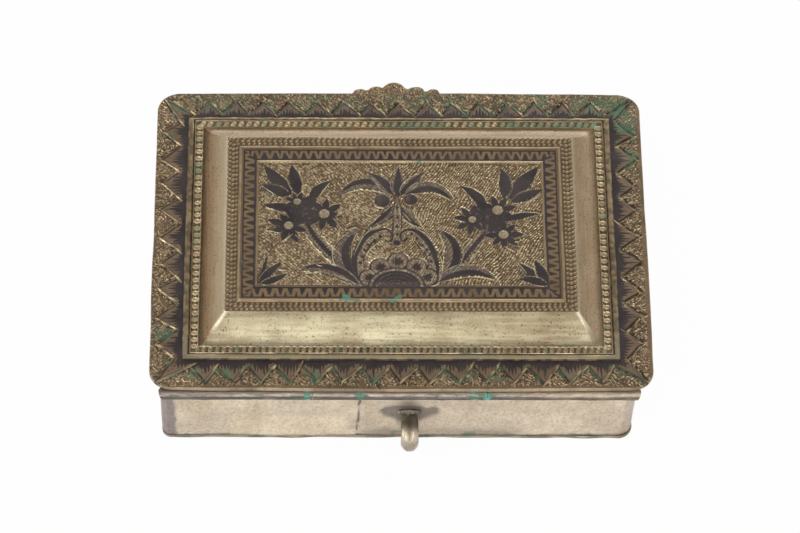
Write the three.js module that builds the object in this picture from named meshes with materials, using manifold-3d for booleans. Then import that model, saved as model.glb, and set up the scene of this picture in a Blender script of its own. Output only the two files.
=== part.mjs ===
// Hinged tobacco box of silvered copper alloy with a raised, niello-inlaid lid.
// Millimetres, +Z up. The origin is the centre of the face that the box rests on,
// the hinge and the hanging loop are on the -Y side, the thumb-piece on the +Y side.

import * as THREE from "three";
import { mergeVertices } from "three/addons/utils/BufferGeometryUtils.js";
import Module from "manifold-3d";

const wasm = await Module();
wasm.setup();

// Body
const BODY_WIDTH = 90.4;
const BODY_DEPTH = 66.0;
const BODY_HEIGHT = 18.8;
const BODY_CORNER_RADIUS = 2.8;
const WALL_THICKNESS = 0.9;
const BOTTOM_THICKNESS = 0.9;
const BOTTOM_LIP = 0.25;

// Lap seam of the wall strip, a slanting line on the hinge side
const SEAM_TOP_X = -7.2;
const SEAM_BOTTOM_X = -8.3;
const SEAM_WIDTH = 0.25;
const SEAM_DEPTH = 0.3;

// Lid sheet
const LID_THICKNESS = 0.8;
const LID_SIDE_OVERHANG = 2.25;
const LID_HINGE_OVERHANG = 1.3;
const LID_THUMB_OVERHANG = 1.8;
const LID_CORNER_RADIUS = 4.5;
const RIM_WIDTH_SIDE = 6.25;
const RIM_WIDTH_LONG = 6.25;
const COVE_WIDTH = 4.7;
const COVE_HEIGHT = 4.65;
const COVE_STEPS = 4;
const COVE_FOOT_SHARE = 0.45;
const RAISED_CORNER_RADIUS = 0.3;

// Applied frames on the lid
const FILLET_WIDTH = 1.2;
const FILLET_HEIGHT = 0.5;
const BEAD_WIRE_WIDTH = 1.7;
const BEAD_HEIGHT = 1.0;
const BEAD_VALLEY = 0.45;
const BEAD_PITCH = 1.5;
const MILLED_WIDTH = 2.1;
const MILLED_HEIGHT = 0.4;
const MILLED_VALLEY = 0.2;
const MILLED_PITCH = 1.5;
const FRAME_LINE_WIDTH = 0.6;
const FRAME_LINE_HEIGHT = 0.3;
const FRAME_GAP = 0.1;

// Niello inlay
const NIELLO_DEPTH = 0.3;
const NIELLO_FIT = 0.05;
const RIM_BAND_WIDTH = 0.7;
const RIM_FLAME_LENGTH = 2.6;
const RIM_FLAME_PITCH = 5.7;
const BORDER_WIDTH = 2.7;
const BORDER_LINE_WIDTH = 0.4;
const BORDER_METAL_WIDTH = 0.55;
const BORDER_PITCH = 1.95;
const MOTIF_ASPECT = 1.88;

// Three-sided strip under the lid that locates it in the wall, open on the hinge side
const BEZEL_CLEARANCE = 0.3;
const BEZEL_THICKNESS = 0.7;
const BEZEL_HEIGHT = 1.6;
const BEZEL_HINGE_CLEARANCE = 3.0;

// Hinge
const HINGE_RADIUS = 1.1;
const HINGE_GAP = 0.2;
const HINGE_BORE_RADIUS = 0.6;
const PIN_CLEARANCE = 0.12;
const MIDDLE_KNUCKLE_LENGTH = 32.6;
const KNUCKLE_END_GAP = 0.2;
const KNUCKLE_END_SLANT = 0.9;
const KNUCKLE_FOOT_WIDTH = 1.2;

// Hanging loop on the hinge side
const LOOP_X = 1.7;
const LOOP_WIDTH = 3.4;
const LOOP_THICKNESS = 1.2;
const LOOP_REACH = 6.3;
const LOOP_BOTTOM = 1.6;
const LOOP_TOP = 8.9;

// Thumb-piece, flush with the rim: centre of each lobe along X, its radius and its
// reach past the lid's edge
const THUMB_SEAT = 0.6;
const THUMB_NARROWING = 0.8;
const THUMB_LOBES = [
  [-7.6, 1.7, 1.3],
  [-4.4, 1.8, 1.9],
  [-0.9, 2.4, 2.9],
  [3.3, 1.8, 2.1],
  [6.8, 1.5, 1.2],
];

// Places that follow from the sizes
const LID_Y = (LID_THUMB_OVERHANG - LID_HINGE_OVERHANG) / 2;
const LID_HALF_WIDTH = BODY_WIDTH / 2 + LID_SIDE_OVERHANG;
const LID_HALF_DEPTH = (BODY_DEPTH + LID_HINGE_OVERHANG + LID_THUMB_OVERHANG) / 2;
const RIM_TOP = BODY_HEIGHT + LID_THICKNESS;
const PLATEAU_TOP = RIM_TOP + COVE_HEIGHT;
const HINGE_Y = -(BODY_DEPTH / 2 + HINGE_GAP + HINGE_RADIUS);
const HINGE_Z = BODY_HEIGHT - HINGE_GAP - HINGE_RADIUS;

/** A half size pair of the lid's nested rectangles. */
function half(width, depth) {
  return { w: width, d: depth };
}

/** The rectangle that lies `by` inside another one. */
function inset(rect, by) {
  return half(rect.w - by, rect.d - by);
}

const LID_EDGE = half(LID_HALF_WIDTH, LID_HALF_DEPTH);
const FILLET_EDGE = half(LID_EDGE.w - RIM_WIDTH_SIDE, LID_EDGE.d - RIM_WIDTH_LONG);
const BEAD_EDGE = inset(FILLET_EDGE, FILLET_WIDTH + FRAME_GAP);
const COVE_FOOT = inset(BEAD_EDGE, BEAD_WIRE_WIDTH + FRAME_GAP);
const PLATEAU = inset(COVE_FOOT, COVE_WIDTH);
const MILLED_EDGE = inset(PLATEAU, FRAME_GAP);
const LINE_EDGE = inset(MILLED_EDGE, MILLED_WIDTH + FRAME_GAP);
const BORDER = inset(LINE_EDGE, FRAME_LINE_WIDTH + 2 * FRAME_GAP);
const PANEL = inset(BORDER, BORDER_WIDTH);

/** A closed solid for manifold-3d from a three.js geometry. */
function toSolid(geometry) {
  const plain = geometry.clone();
  plain.deleteAttribute("normal");
  plain.deleteAttribute("uv");
  const merged = mergeVertices(plain, 1e-4);
  return new wasm.Manifold(
    new wasm.Mesh({
      numProp: 3,
      vertProperties: new Float32Array(merged.attributes.position.array),
      triVerts: new Uint32Array(merged.index.array),
    }),
  );
}

/** A three.js geometry from a manifold-3d solid. */
function toGeometry(solid) {
  const mesh = solid.getMesh();
  const geometry = new THREE.BufferGeometry();
  geometry.setAttribute("position", new THREE.BufferAttribute(mesh.vertProperties, 3));
  geometry.setIndex(new THREE.BufferAttribute(mesh.triVerts, 1));
  const flat = geometry.toNonIndexed();
  flat.computeVertexNormals();
  return flat;
}

/** Points of a rounded rectangle, counter-clockwise. */
function roundedRectPoints(rect, radius, steps, y = 0) {
  const points = [];
  const corners = [
    [1, -1, -Math.PI / 2],
    [1, 1, 0],
    [-1, 1, Math.PI / 2],
    [-1, -1, Math.PI],
  ];
  for (const [sx, sy, start] of corners) {
    for (let i = 0; i <= steps; i++) {
      const angle = start + (i / steps) * (Math.PI / 2);
      const x = sx * (rect.w - radius) + radius * Math.cos(angle);
      const yy = sy * (rect.d - radius) + radius * Math.sin(angle);
      points.push(new THREE.Vector2(x, yy + y));
    }
  }
  return points;
}

/** Moves each point of a closed counter-clockwise outline outwards by `distance`. */
function grow(points, distance) {
  if (distance === 0) return points.map((p) => p.clone());
  const sign = THREE.ShapeUtils.isClockWise(points) ? -1 : 1;
  return points.map((p, i) => {
    const before = points[(i + points.length - 1) % points.length];
    const after = points[(i + 1) % points.length];
    const d1 = p.clone().sub(before).normalize();
    const d2 = after.clone().sub(p).normalize();
    const n1 = new THREE.Vector2(d1.y, -d1.x);
    const n2 = new THREE.Vector2(d2.y, -d2.x);
    const bisector = n1.clone().add(n2).normalize();
    const reach = Math.min(1 / Math.max(bisector.dot(n1), 0.2), 4);
    return p.clone().addScaledVector(bisector, sign * distance * reach);
  });
}

/** A prism of an outline with holes, from zBottom to zTop. */
function prism(outline, zBottom, zTop, holes = []) {
  const shape = new THREE.Shape(outline);
  for (const hole of holes) shape.holes.push(new THREE.Path(hole));
  const geometry = new THREE.ExtrudeGeometry(shape, {
    depth: zTop - zBottom,
    bevelEnabled: false,
  });
  return toSolid(geometry.translate(0, 0, zBottom));
}

/** A rectangular frame between two nested rectangles. */
function frame(outer, inner, zBottom, zTop) {
  return prism(
    roundedRectPoints(outer, RAISED_CORNER_RADIUS, 1, LID_Y),
    zBottom,
    zTop,
    [roundedRectPoints(inner, RAISED_CORNER_RADIUS, 1, LID_Y)],
  );
}

/** A solid skinned over closed loops of equal length, capped at both ends. */
function loft(loops) {
  const count = loops[0].length;
  const positions = loops.flat().flatMap((p) => [p.x, p.y, p.z]);
  const faces = [];
  for (let k = 0; k + 1 < loops.length; k++) {
    for (let i = 0; i < count; i++) {
      const a = k * count + i;
      const b = k * count + ((i + 1) % count);
      faces.push(a, b, b + count, a, b + count, a + count);
    }
  }
  const last = (loops.length - 1) * count;
  for (let i = 1; i + 1 < count; i++) {
    faces.push(0, i + 1, i);
    faces.push(last, last + i, last + i + 1);
  }
  const geometry = new THREE.BufferGeometry();
  geometry.setAttribute("position", new THREE.Float32BufferAttribute(positions, 3));
  geometry.setIndex(faces);
  return toSolid(geometry);
}

/** A frame whose section changes from place to place along its path. */
function patternedFrame(rect, width, zBottom, sectionHeights, pitch) {
  const middle = inset(rect, width / 2);
  const sections = [];
  const sides = [
    [-middle.w, -middle.d, 1, 0, 2 * middle.w],
    [middle.w, -middle.d, 0, 1, 2 * middle.d],
    [middle.w, middle.d, -1, 0, 2 * middle.w],
    [-middle.w, middle.d, 0, -1, 2 * middle.d],
  ];
  for (const [x, y, dx, dy, length] of sides) {
    const count = 2 * Math.round((length - 2 * width) / pitch);
    for (let i = 0; i <= count + 1; i++) {
      const t = i === 0 ? 0 : width + ((i - 1) / count) * (length - 2 * width);
      const mitre = i === 0 ? 1 : 0;
      const nx = dy - mitre * dx;
      const ny = -dx - mitre * dy;
      const height = sectionHeights[i % 2];
      sections.push(
        [
          [width / 2, 0],
          [width * 0.28, height],
          [-width * 0.28, height],
          [-width / 2, 0],
        ].map(([out, z]) => [
          x + dx * t + nx * out,
          y + dy * t + ny * out + LID_Y,
          zBottom + z,
        ]),
      );
    }
  }
  const count = sections.length;
  const faces = [];
  for (let i = 0; i < count; i++) {
    for (let j = 0; j < 4; j++) {
      const a = i * 4 + j;
      const b = i * 4 + ((j + 1) % 4);
      const c = ((i + 1) % count) * 4 + ((j + 1) % 4);
      const d = ((i + 1) % count) * 4 + j;
      faces.push(a, d, c, a, c, b);
    }
  }
  const geometry = new THREE.BufferGeometry();
  geometry.setAttribute("position", new THREE.Float32BufferAttribute(sections.flat(2), 3));
  geometry.setIndex(faces);
  return toSolid(geometry);
}

/** Places along a side, about its middle and half a pitch apart, for teeth that fit within it. */
function toothPlaces(halfLength, pitch) {
  const teeth = Math.max(1, Math.floor((2 * halfLength) / pitch));
  const places = [];
  for (let i = 0; i <= 2 * teeth; i++) places.push(((i - teeth) * pitch) / 2);
  return places;
}

/**
 * A rectangle's outline with teeth that stand out of it (+) or into it (-). The teeth
 * take every second place, counted along `within`, so two outlines can interleave.
 */
function toothedRect(rect, within, toothLength, pitch, phase) {
  const points = [];
  const sides = [
    [1, 0, rect.w, rect.d, within.w],
    [0, 1, rect.d, rect.w, within.d],
    [-1, 0, rect.w, rect.d, within.w],
    [0, -1, rect.d, rect.w, within.d],
  ];
  for (const [dx, dy, along, away, length] of sides) {
    const place = (t, out) =>
      new THREE.Vector2(dx * t + dy * (away + out), dy * t - dx * (away + out) + LID_Y);
    points.push(place(-along, 0));
    const places = toothPlaces(length, pitch);
    places.forEach((t, i) => {
      const end = i === 0 || i === places.length - 1;
      points.push(place(t, !end && i % 2 === phase ? toothLength : 0));
    });
  }
  return points;
}

// Body pieces

function bottomPlate() {
  const edge = half(BODY_WIDTH / 2 + BOTTOM_LIP, BODY_DEPTH / 2 + BOTTOM_LIP);
  return prism(roundedRectPoints(edge, BODY_CORNER_RADIUS + BOTTOM_LIP, 5), 0, BOTTOM_THICKNESS);
}

function wallBand() {
  const outer = half(BODY_WIDTH / 2, BODY_DEPTH / 2);
  const band = prism(
    roundedRectPoints(outer, BODY_CORNER_RADIUS, 5),
    BOTTOM_THICKNESS,
    BODY_HEIGHT,
    [roundedRectPoints(inset(outer, WALL_THICKNESS), BODY_CORNER_RADIUS - WALL_THICKNESS, 5)],
  );
  const seam = new THREE.BoxGeometry(SEAM_WIDTH, 2 * SEAM_DEPTH, 2 * BODY_HEIGHT);
  seam.rotateY(Math.atan2(SEAM_TOP_X - SEAM_BOTTOM_X, BODY_HEIGHT));
  seam.translate((SEAM_TOP_X + SEAM_BOTTOM_X) / 2, -BODY_DEPTH / 2, BODY_HEIGHT / 2);
  return band.subtract(toSolid(seam));
}

/** A knuckle along X with a bore, a foot towards its carrier and chosen end slants. */
function knuckle(xStart, xEnd, foot, slantStart, slantEnd) {
  const circle = new THREE.Shape().absarc(0, 0, HINGE_RADIUS, 0, 2 * Math.PI).getPoints(10);
  const bore = new THREE.Shape().absarc(0, 0, HINGE_BORE_RADIUS, 0, 2 * Math.PI).getPoints(8);
  circle.pop();
  bore.pop();
  const length = xEnd - xStart;
  const tube = prism(circle, 0, length);
  const block = toSolid(
    new THREE.BoxGeometry(KNUCKLE_FOOT_WIDTH, HINGE_RADIUS + HINGE_GAP, length)
      .translate(0, (HINGE_RADIUS + HINGE_GAP) / 2, length / 2)
      .rotateZ(foot),
  );
  let solid = tube.add(block).subtract(prism(bore, -1, length + 1));
  solid = toSolid(
    toGeometry(solid)
      .rotateX(Math.PI / 2)
      .rotateZ(Math.PI / 2)
      .translate(xStart, HINGE_Y, HINGE_Z),
  );
  for (const [x, slant, side] of [
    [xStart, slantStart, -1],
    [xEnd, slantEnd, 1],
  ]) {
    if (!slant) continue;
    const cutter = new THREE.BoxGeometry(8, 8, 8);
    cutter.translate(side * 4, 0, 0);
    cutter.rotateY(side * Math.atan2(slant, 2 * HINGE_RADIUS));
    cutter.translate(x - (side * slant) / 2, HINGE_Y, HINGE_Z);
    solid = solid.subtract(toSolid(cutter));
  }
  return solid;
}

function hingePin() {
  const length = BODY_WIDTH - 4 * KNUCKLE_END_SLANT;
  const pin = new THREE.CylinderGeometry(
    HINGE_BORE_RADIUS - PIN_CLEARANCE,
    HINGE_BORE_RADIUS - PIN_CLEARANCE,
    length,
    8,
  );
  return toSolid(pin.rotateZ(Math.PI / 2).translate(0, HINGE_Y, HINGE_Z));
}

/** The strap bent into a loop, extruded across its width. */
function hangingLoop() {
  const middle = (LOOP_TOP + LOOP_BOTTOM) / 2;
  const rise = (LOOP_TOP - LOOP_BOTTOM) / 2;
  const outline = (reach, halfHeight) =>
    new THREE.Shape()
      .moveTo(0, -halfHeight)
      .bezierCurveTo(reach * 1.33, -halfHeight, reach * 1.33, halfHeight, 0, halfHeight)
      .getPoints(10);
  const outer = outline(LOOP_REACH, rise);
  const inner = outline(LOOP_REACH - LOOP_THICKNESS, rise - LOOP_THICKNESS);
  const strap = prism([...outer, ...inner.reverse()], -LOOP_WIDTH / 2, LOOP_WIDTH / 2);
  return toSolid(
    toGeometry(strap)
      .rotateX(Math.PI / 2)
      .rotateZ(-Math.PI / 2)
      .translate(LOOP_X, -BODY_DEPTH / 2, middle),
  );
}

// Lid pieces

/** Distance inside the cove's foot and height above the rim, at a share of the cove. */
function covePoint(share) {
  const rise = COVE_FOOT_SHARE * share + (1 - COVE_FOOT_SHARE) * share * share;
  return [COVE_WIDTH * share, COVE_HEIGHT * rise];
}

/** Slope of the cove at a share of it. */
function coveSlope(share) {
  const rise = COVE_FOOT_SHARE + 2 * (1 - COVE_FOOT_SHARE) * share;
  return Math.atan2(COVE_HEIGHT * rise, COVE_WIDTH);
}

function lidSheet() {
  const steps = 4;
  const ring = (rect, radius, z) =>
    roundedRectPoints(rect, radius, steps, LID_Y).map((p) => new THREE.Vector3(p.x, p.y, z));
  const top = [];
  const under = [];
  for (let i = 0; i <= COVE_STEPS; i++) {
    const share = i / COVE_STEPS;
    const [by, z] = covePoint(share);
    const slope = coveSlope(share);
    const shift = LID_THICKNESS * Math.sin(slope);
    const drop = LID_THICKNESS * Math.cos(slope);
    top.push(ring(inset(COVE_FOOT, by), RAISED_CORNER_RADIUS, RIM_TOP + z));
    under.push(
      ring(inset(COVE_FOOT, by + shift), RAISED_CORNER_RADIUS, RIM_TOP + z - (i ? drop : LID_THICKNESS)),
    );
  }
  return loft([
    ring(inset(PLATEAU, 2 * LID_THICKNESS), RAISED_CORNER_RADIUS, PLATEAU_TOP - LID_THICKNESS),
    ...under.reverse(),
    ring(LID_EDGE, LID_CORNER_RADIUS, BODY_HEIGHT),
    ring(LID_EDGE, LID_CORNER_RADIUS, RIM_TOP),
    ...top,
  ]);
}

function lidBezel() {
  const outer = half(
    BODY_WIDTH / 2 - WALL_THICKNESS - BEZEL_CLEARANCE,
    BODY_DEPTH / 2 - WALL_THICKNESS - BEZEL_CLEARANCE,
  );
  const radius = BODY_CORNER_RADIUS - WALL_THICKNESS;
  const ring = prism(
    roundedRectPoints(outer, radius, 4),
    BODY_HEIGHT - BEZEL_HEIGHT,
    BODY_HEIGHT,
    [roundedRectPoints(inset(outer, BEZEL_THICKNESS), radius - BEZEL_THICKNESS, 4)],
  );
  const open = new THREE.BoxGeometry(BODY_WIDTH, BODY_DEPTH, 2 * BODY_HEIGHT);
  open.translate(0, -BODY_DEPTH + WALL_THICKNESS + BEZEL_HINGE_CLEARANCE, BODY_HEIGHT);
  return ring.subtract(toSolid(open));
}

/** The outline of the thumb-piece, from the lid's edge out to the tips of its lobes. */
function thumbPiece() {
  const edge = LID_Y + LID_HALF_DEPTH;
  const height = LID_THICKNESS;
  const middle = BODY_HEIGHT + height / 2;
  const first = THUMB_LOBES[0][0];
  const last = THUMB_LOBES[THUMB_LOBES.length - 1][0];
  const bar = new THREE.BoxGeometry(last - first, THUMB_SEAT, height);
  let solid = toSolid(bar.translate((first + last) / 2, edge + THUMB_SEAT / 2, middle));
  for (const [x, radius, reach] of THUMB_LOBES) {
    const centre = edge + reach - radius;
    const lobe = new THREE.CylinderGeometry(radius * THUMB_NARROWING, radius, height, 12);
    lobe.rotateX(Math.PI / 2).translate(x, centre, middle);
    const neck = new THREE.BoxGeometry(2 * radius * THUMB_NARROWING, reach, height);
    neck.translate(x, centre - reach / 2, middle);
    solid = solid.add(toSolid(lobe)).add(toSolid(neck));
  }
  const inside = new THREE.BoxGeometry(BODY_WIDTH, BODY_DEPTH, 4 * height);
  inside.translate(0, edge - BODY_DEPTH / 2, middle);
  return solid.subtract(toSolid(inside));
}

// Niello pieces: each is made by a function of how much its outline grows, so that
// the inlay and the pocket that it sits in come from the same outline.

function rimNiello(growth) {
  const inner = half(FILLET_EDGE.w + FRAME_GAP, FILLET_EDGE.d + FRAME_GAP);
  const outer = half(inner.w + RIM_BAND_WIDTH, inner.d + RIM_BAND_WIDTH);
  return {
    outline: grow(toothedRect(outer, inner, RIM_FLAME_LENGTH, RIM_FLAME_PITCH, 1), growth),
    holes: [roundedRectPoints(inset(inner, growth), RAISED_CORNER_RADIUS, 1, LID_Y)],
  };
}

function borderOuterNiello(growth) {
  const teeth = BORDER_WIDTH - 2 * BORDER_LINE_WIDTH - BORDER_METAL_WIDTH;
  const inner = inset(BORDER, BORDER_LINE_WIDTH);
  return {
    outline: roundedRectPoints(inset(BORDER, -growth), RAISED_CORNER_RADIUS, 1, LID_Y),
    holes: [grow(toothedRect(inner, PANEL, -teeth, BORDER_PITCH, 1), -growth)],
  };
}

function borderInnerNiello(growth) {
  const teeth = BORDER_WIDTH - 2 * BORDER_LINE_WIDTH - BORDER_METAL_WIDTH;
  const outer = inset(PANEL, -BORDER_LINE_WIDTH);
  return {
    outline: grow(toothedRect(outer, PANEL, teeth, BORDER_PITCH, 0), growth),
    holes: [roundedRectPoints(inset(PANEL, growth), RAISED_CORNER_RADIUS, 1, LID_Y)],
  };
}

/** A prism of a niello outline. */
function nielloPrism(shape, zBottom, zTop) {
  return prism(shape.outline, zBottom, zTop, shape.holes);
}

// The motif. Places are in hundredths of the panel's half width and half depth from
// its centre; widths, bends and radii are in hundredths of the half depth, on a panel
// that is MOTIF_ASPECT times as wide as it is deep. The drawing stretches with the panel.

/** A place of the drawing. */
function point(across, up) {
  return new THREE.Vector2(across * MOTIF_ASPECT, up);
}

/** The drawing's points on the panel. */
function onPanel(points) {
  const unitX = PANEL.w / (100 * MOTIF_ASPECT);
  const unitY = PANEL.d / 100;
  return points.map((p) => new THREE.Vector2(p.x * unitX, p.y * unitY + LID_Y));
}

/** A pointed leaf from base to tip; a positive bend bows it to the left of its way. */
function leaf([bx, by], [tx, ty], width, bend = 0) {
  const base = point(bx, by);
  const tip = point(tx, ty);
  const along = tip.clone().sub(base);
  const side = new THREE.Vector2(-along.y, along.x).normalize();
  const middle = base.clone().addScaledVector(along, 0.5);
  const left = middle.clone().addScaledVector(side, bend + width);
  const right = middle.clone().addScaledVector(side, bend - width);
  const curve = new THREE.Shape();
  curve.moveTo(base.x, base.y);
  curve.quadraticCurveTo(right.x, right.y, tip.x, tip.y);
  curve.quadraticCurveTo(left.x, left.y, base.x, base.y);
  const points = curve.getPoints(3);
  points.pop();
  return { outline: onPanel(points) };
}

/** A ring of points about a place, at the radius that `radiusAt` gives each of them. */
function ringOfPoints(centre, count, radiusAt) {
  const points = [];
  for (let i = 0; i < count; i++) {
    const angle = (2 * i * Math.PI) / count;
    const reach = radiusAt(i);
    points.push(new THREE.Vector2(Math.cos(angle), Math.sin(angle)).multiplyScalar(reach).add(centre));
  }
  return onPanel(points);
}

/** A star flower with a bare metal eye. */
function flower([cx, cy], radius, petals) {
  const centre = point(cx, cy);
  return {
    outline: ringOfPoints(centre, 2 * petals, (i) => (i % 2 ? 0.62 * radius : radius)),
    eye: ringOfPoints(centre, 6, () => 0.34 * radius),
  };
}

/** A round fruit. */
function fruit([cx, cy], radius) {
  return { outline: ringOfPoints(point(cx, cy), 8, () => radius) };
}

/** A scalloped half-rosette that stands on the panel's lower edge. */
function rosette([cx, cy], radius, petals) {
  const foot = point(cx, cy);
  const points = [];
  for (let i = 0; i <= 2 * petals; i++) {
    const angle = (i * Math.PI) / (2 * petals);
    const reach = i % 2 ? radius : 0.84 * radius;
    const rise = 0.85 * reach * Math.sin(angle);
    points.push(new THREE.Vector2(reach * Math.cos(angle) + foot.x, rise + foot.y));
  }
  return { outline: onPanel(points) };
}

/** The shapes of one motif, joined; flowers keep their eyes bare. */
function motifSolid(shapes, growth, zBottom, zTop) {
  let solid = null;
  for (const shape of shapes) {
    const part = prism(grow(shape.outline, growth), zBottom, zTop);
    solid = solid ? solid.add(part) : part;
  }
  for (const shape of shapes) {
    if (shape.eye) solid = solid.subtract(prism(grow(shape.eye, -growth), zBottom - 1, zTop + 1));
  }
  return solid;
}

const MOTIFS = {
  palm: [
    leaf([-2, -30], [-2, 56], 6),
    leaf([-2, 38], [-1, 88], 11),
    leaf([-2, 42], [-42, 50], 10, -36),
    leaf([-2, 46], [-22, 78], 10, -6),
    leaf([-2, 42], [40, 50], 10, 36),
    leaf([-2, 46], [18, 78], 10, 6),
    leaf([-2, 16], [-16, -6], 8),
    leaf([-2, 16], [14, -6], 8),
  ],
  fruit_left: [fruit([-12, 32], 10)],
  fruit_right: [fruit([8, 32], 10)],
  rosette: [rosette([-3, -96], 47, 5)],
  bouquet_left: [
    flower([-72, 32], 13, 8),
    flower([-54, 14], 17, 8),
    flower([-78, -6], 17, 8),
    leaf([-72, 36], [-54, 10], 14),
    leaf([-72, 36], [-78, -4], 12),
    leaf([-74, 34], [-94, 90], 15),
    leaf([-71, 34], [-78, 90], 14),
    leaf([-74, 34], [-96, 60], 10),
    leaf([-76, 20], [-95, 28], 8),
    leaf([-60, 20], [-51, 60], 12),
  ],
  bouquet_right: [
    flower([67, 18], 17, 8),
    flower([50, 4], 15, 8),
    flower([71, -20], 17, 8),
    leaf([67, 22], [52, 0], 14),
    leaf([67, 22], [71, -16], 12),
    leaf([70, 22], [95, 86], 19),
    leaf([68, 22], [72, 84], 14),
    leaf([71, 24], [96, 48], 11),
    leaf([68, 12], [96, 14], 9),
    leaf([54, 8], [47, 56], 13),
  ],
  spray_left: [
    fruit([-31, -89], 7),
    leaf([-31, -91], [-64, -8], 9),
    leaf([-31, -91], [-29, -12], 11, 20),
    leaf([-31, -91], [-8, -18], 10, 32),
    leaf([-31, -91], [-70, -76], 10, -16),
  ],
  spray_right: [
    fruit([27, -89], 7),
    leaf([27, -91], [58, -22], 9),
    leaf([27, -91], [21, -12], 11, -24),
    leaf([27, -91], [4, -18], 10, -32),
    leaf([27, -91], [66, -88], 10, 24),
  ],
  sprig_left: [
    leaf([-97, -94], [-89, -72], 10),
    leaf([-96, -92], [-93, -54], 7),
    leaf([-96, -92], [-84, -62], 7),
    leaf([-96, -92], [-78, -82], 7),
  ],
  sprig_right: [
    leaf([97, -94], [88, -74], 12),
    leaf([96, -92], [92, -58], 8),
    leaf([96, -92], [83, -66], 8),
    leaf([96, -92], [80, -85], 8),
  ],
};

/** Every niello inlay by name: a function that makes it, grown, between two heights. */
const inlays = new Map();
const rimInlays = new Map([["niello_rim", rimNiello]]);
const borderInlays = new Map([
  ["niello_border_outer", borderOuterNiello],
  ["niello_border_inner", borderInnerNiello],
]);
for (const [name, shape] of rimInlays) {
  inlays.set(name, { top: RIM_TOP, make: (g, z0, z1) => nielloPrism(shape(g), z0, z1) });
}
for (const [name, shape] of borderInlays) {
  inlays.set(name, { top: PLATEAU_TOP, make: (g, z0, z1) => nielloPrism(shape(g), z0, z1) });
}
for (const [motif, shapes] of Object.entries(MOTIFS)) {
  inlays.set("niello_" + motif, {
    top: PLATEAU_TOP,
    make: (g, z0, z1) => motifSolid(shapes, g, z0, z1),
  });
}

function lidPlate() {
  let sheet = lidSheet();
  for (const { top, make } of inlays.values()) {
    sheet = sheet.subtract(make(NIELLO_FIT, top - NIELLO_DEPTH, top + 1));
  }
  return sheet;
}

// Materials

const silvered = { color: 0xb8a888, roughness: 0.42, metalness: 0.9 };
const brightLoop = { color: 0xc9bca0, roughness: 0.3, metalness: 0.95 };
const nielloFinish = { color: 0x38332f, roughness: 0.5, metalness: 0.4 };
const ironPin = { color: 0x5a5550, roughness: 0.55, metalness: 0.9 };

/** A named mesh of a solid. */
function named(name, solid, finish) {
  const mesh = new THREE.Mesh(toGeometry(solid), new THREE.MeshStandardMaterial(finish));
  mesh.name = name;
  return mesh;
}

// Assembly

const halfMiddle = MIDDLE_KNUCKLE_LENGTH / 2;
const towardsWall = -Math.PI / 2;
const towardsLid = 0;

const box = new THREE.Group();
box.add(named("bottom_plate", bottomPlate(), silvered));
box.add(named("wall_band", wallBand(), silvered));
box.add(
  named(
    "hinge_knuckle_left",
    knuckle(-BODY_WIDTH / 2, -halfMiddle - KNUCKLE_END_GAP, towardsWall, KNUCKLE_END_SLANT, 0),
    silvered,
  ),
);
box.add(
  named(
    "hinge_knuckle_right",
    knuckle(halfMiddle + KNUCKLE_END_GAP, BODY_WIDTH / 2, towardsWall, 0, KNUCKLE_END_SLANT),
    silvered,
  ),
);
box.add(named("hinge_pin", hingePin(), ironPin));
box.add(named("hanging_loop", hangingLoop(), brightLoop));

const lid = new THREE.Group();
lid.add(named("lid_plate", lidPlate(), silvered));
lid.add(named("lid_bezel", lidBezel(), silvered));
lid.add(
  named("hinge_knuckle_middle", knuckle(-halfMiddle, halfMiddle, towardsLid, 0, 0), silvered),
);
lid.add(named("thumb_piece", thumbPiece(), silvered));
lid.add(
  named(
    "fillet_frame",
    frame(FILLET_EDGE, inset(FILLET_EDGE, FILLET_WIDTH), RIM_TOP, RIM_TOP + FILLET_HEIGHT),
    silvered,
  ),
);
lid.add(
  named(
    "bead_wire_frame",
    patternedFrame(BEAD_EDGE, BEAD_WIRE_WIDTH, RIM_TOP, [BEAD_VALLEY, BEAD_HEIGHT], BEAD_PITCH),
    silvered,
  ),
);
lid.add(
  named(
    "milled_wire_frame",
    patternedFrame(MILLED_EDGE, MILLED_WIDTH, PLATEAU_TOP, [MILLED_VALLEY, MILLED_HEIGHT], MILLED_PITCH),
    silvered,
  ),
);
lid.add(
  named(
    "inner_frame_line",
    frame(LINE_EDGE, inset(LINE_EDGE, FRAME_LINE_WIDTH), PLATEAU_TOP, PLATEAU_TOP + FRAME_LINE_HEIGHT),
    silvered,
  ),
);
for (const [name, { top, make }] of inlays) {
  lid.add(named(name, make(0, top - NIELLO_DEPTH, top), nielloFinish));
}

const tobaccoBox = new THREE.Group();
tobaccoBox.add(box);
tobaccoBox.add(lid);

export default tobaccoBox;
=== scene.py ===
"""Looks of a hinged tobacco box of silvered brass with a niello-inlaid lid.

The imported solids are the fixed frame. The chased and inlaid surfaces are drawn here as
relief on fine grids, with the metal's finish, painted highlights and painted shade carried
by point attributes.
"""

import logging
import math
from dataclasses import dataclass, field
from enum import Enum
from typing import Any, Sequence

import bpy
import numpy as np
from mathutils import Matrix, Vector


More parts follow.
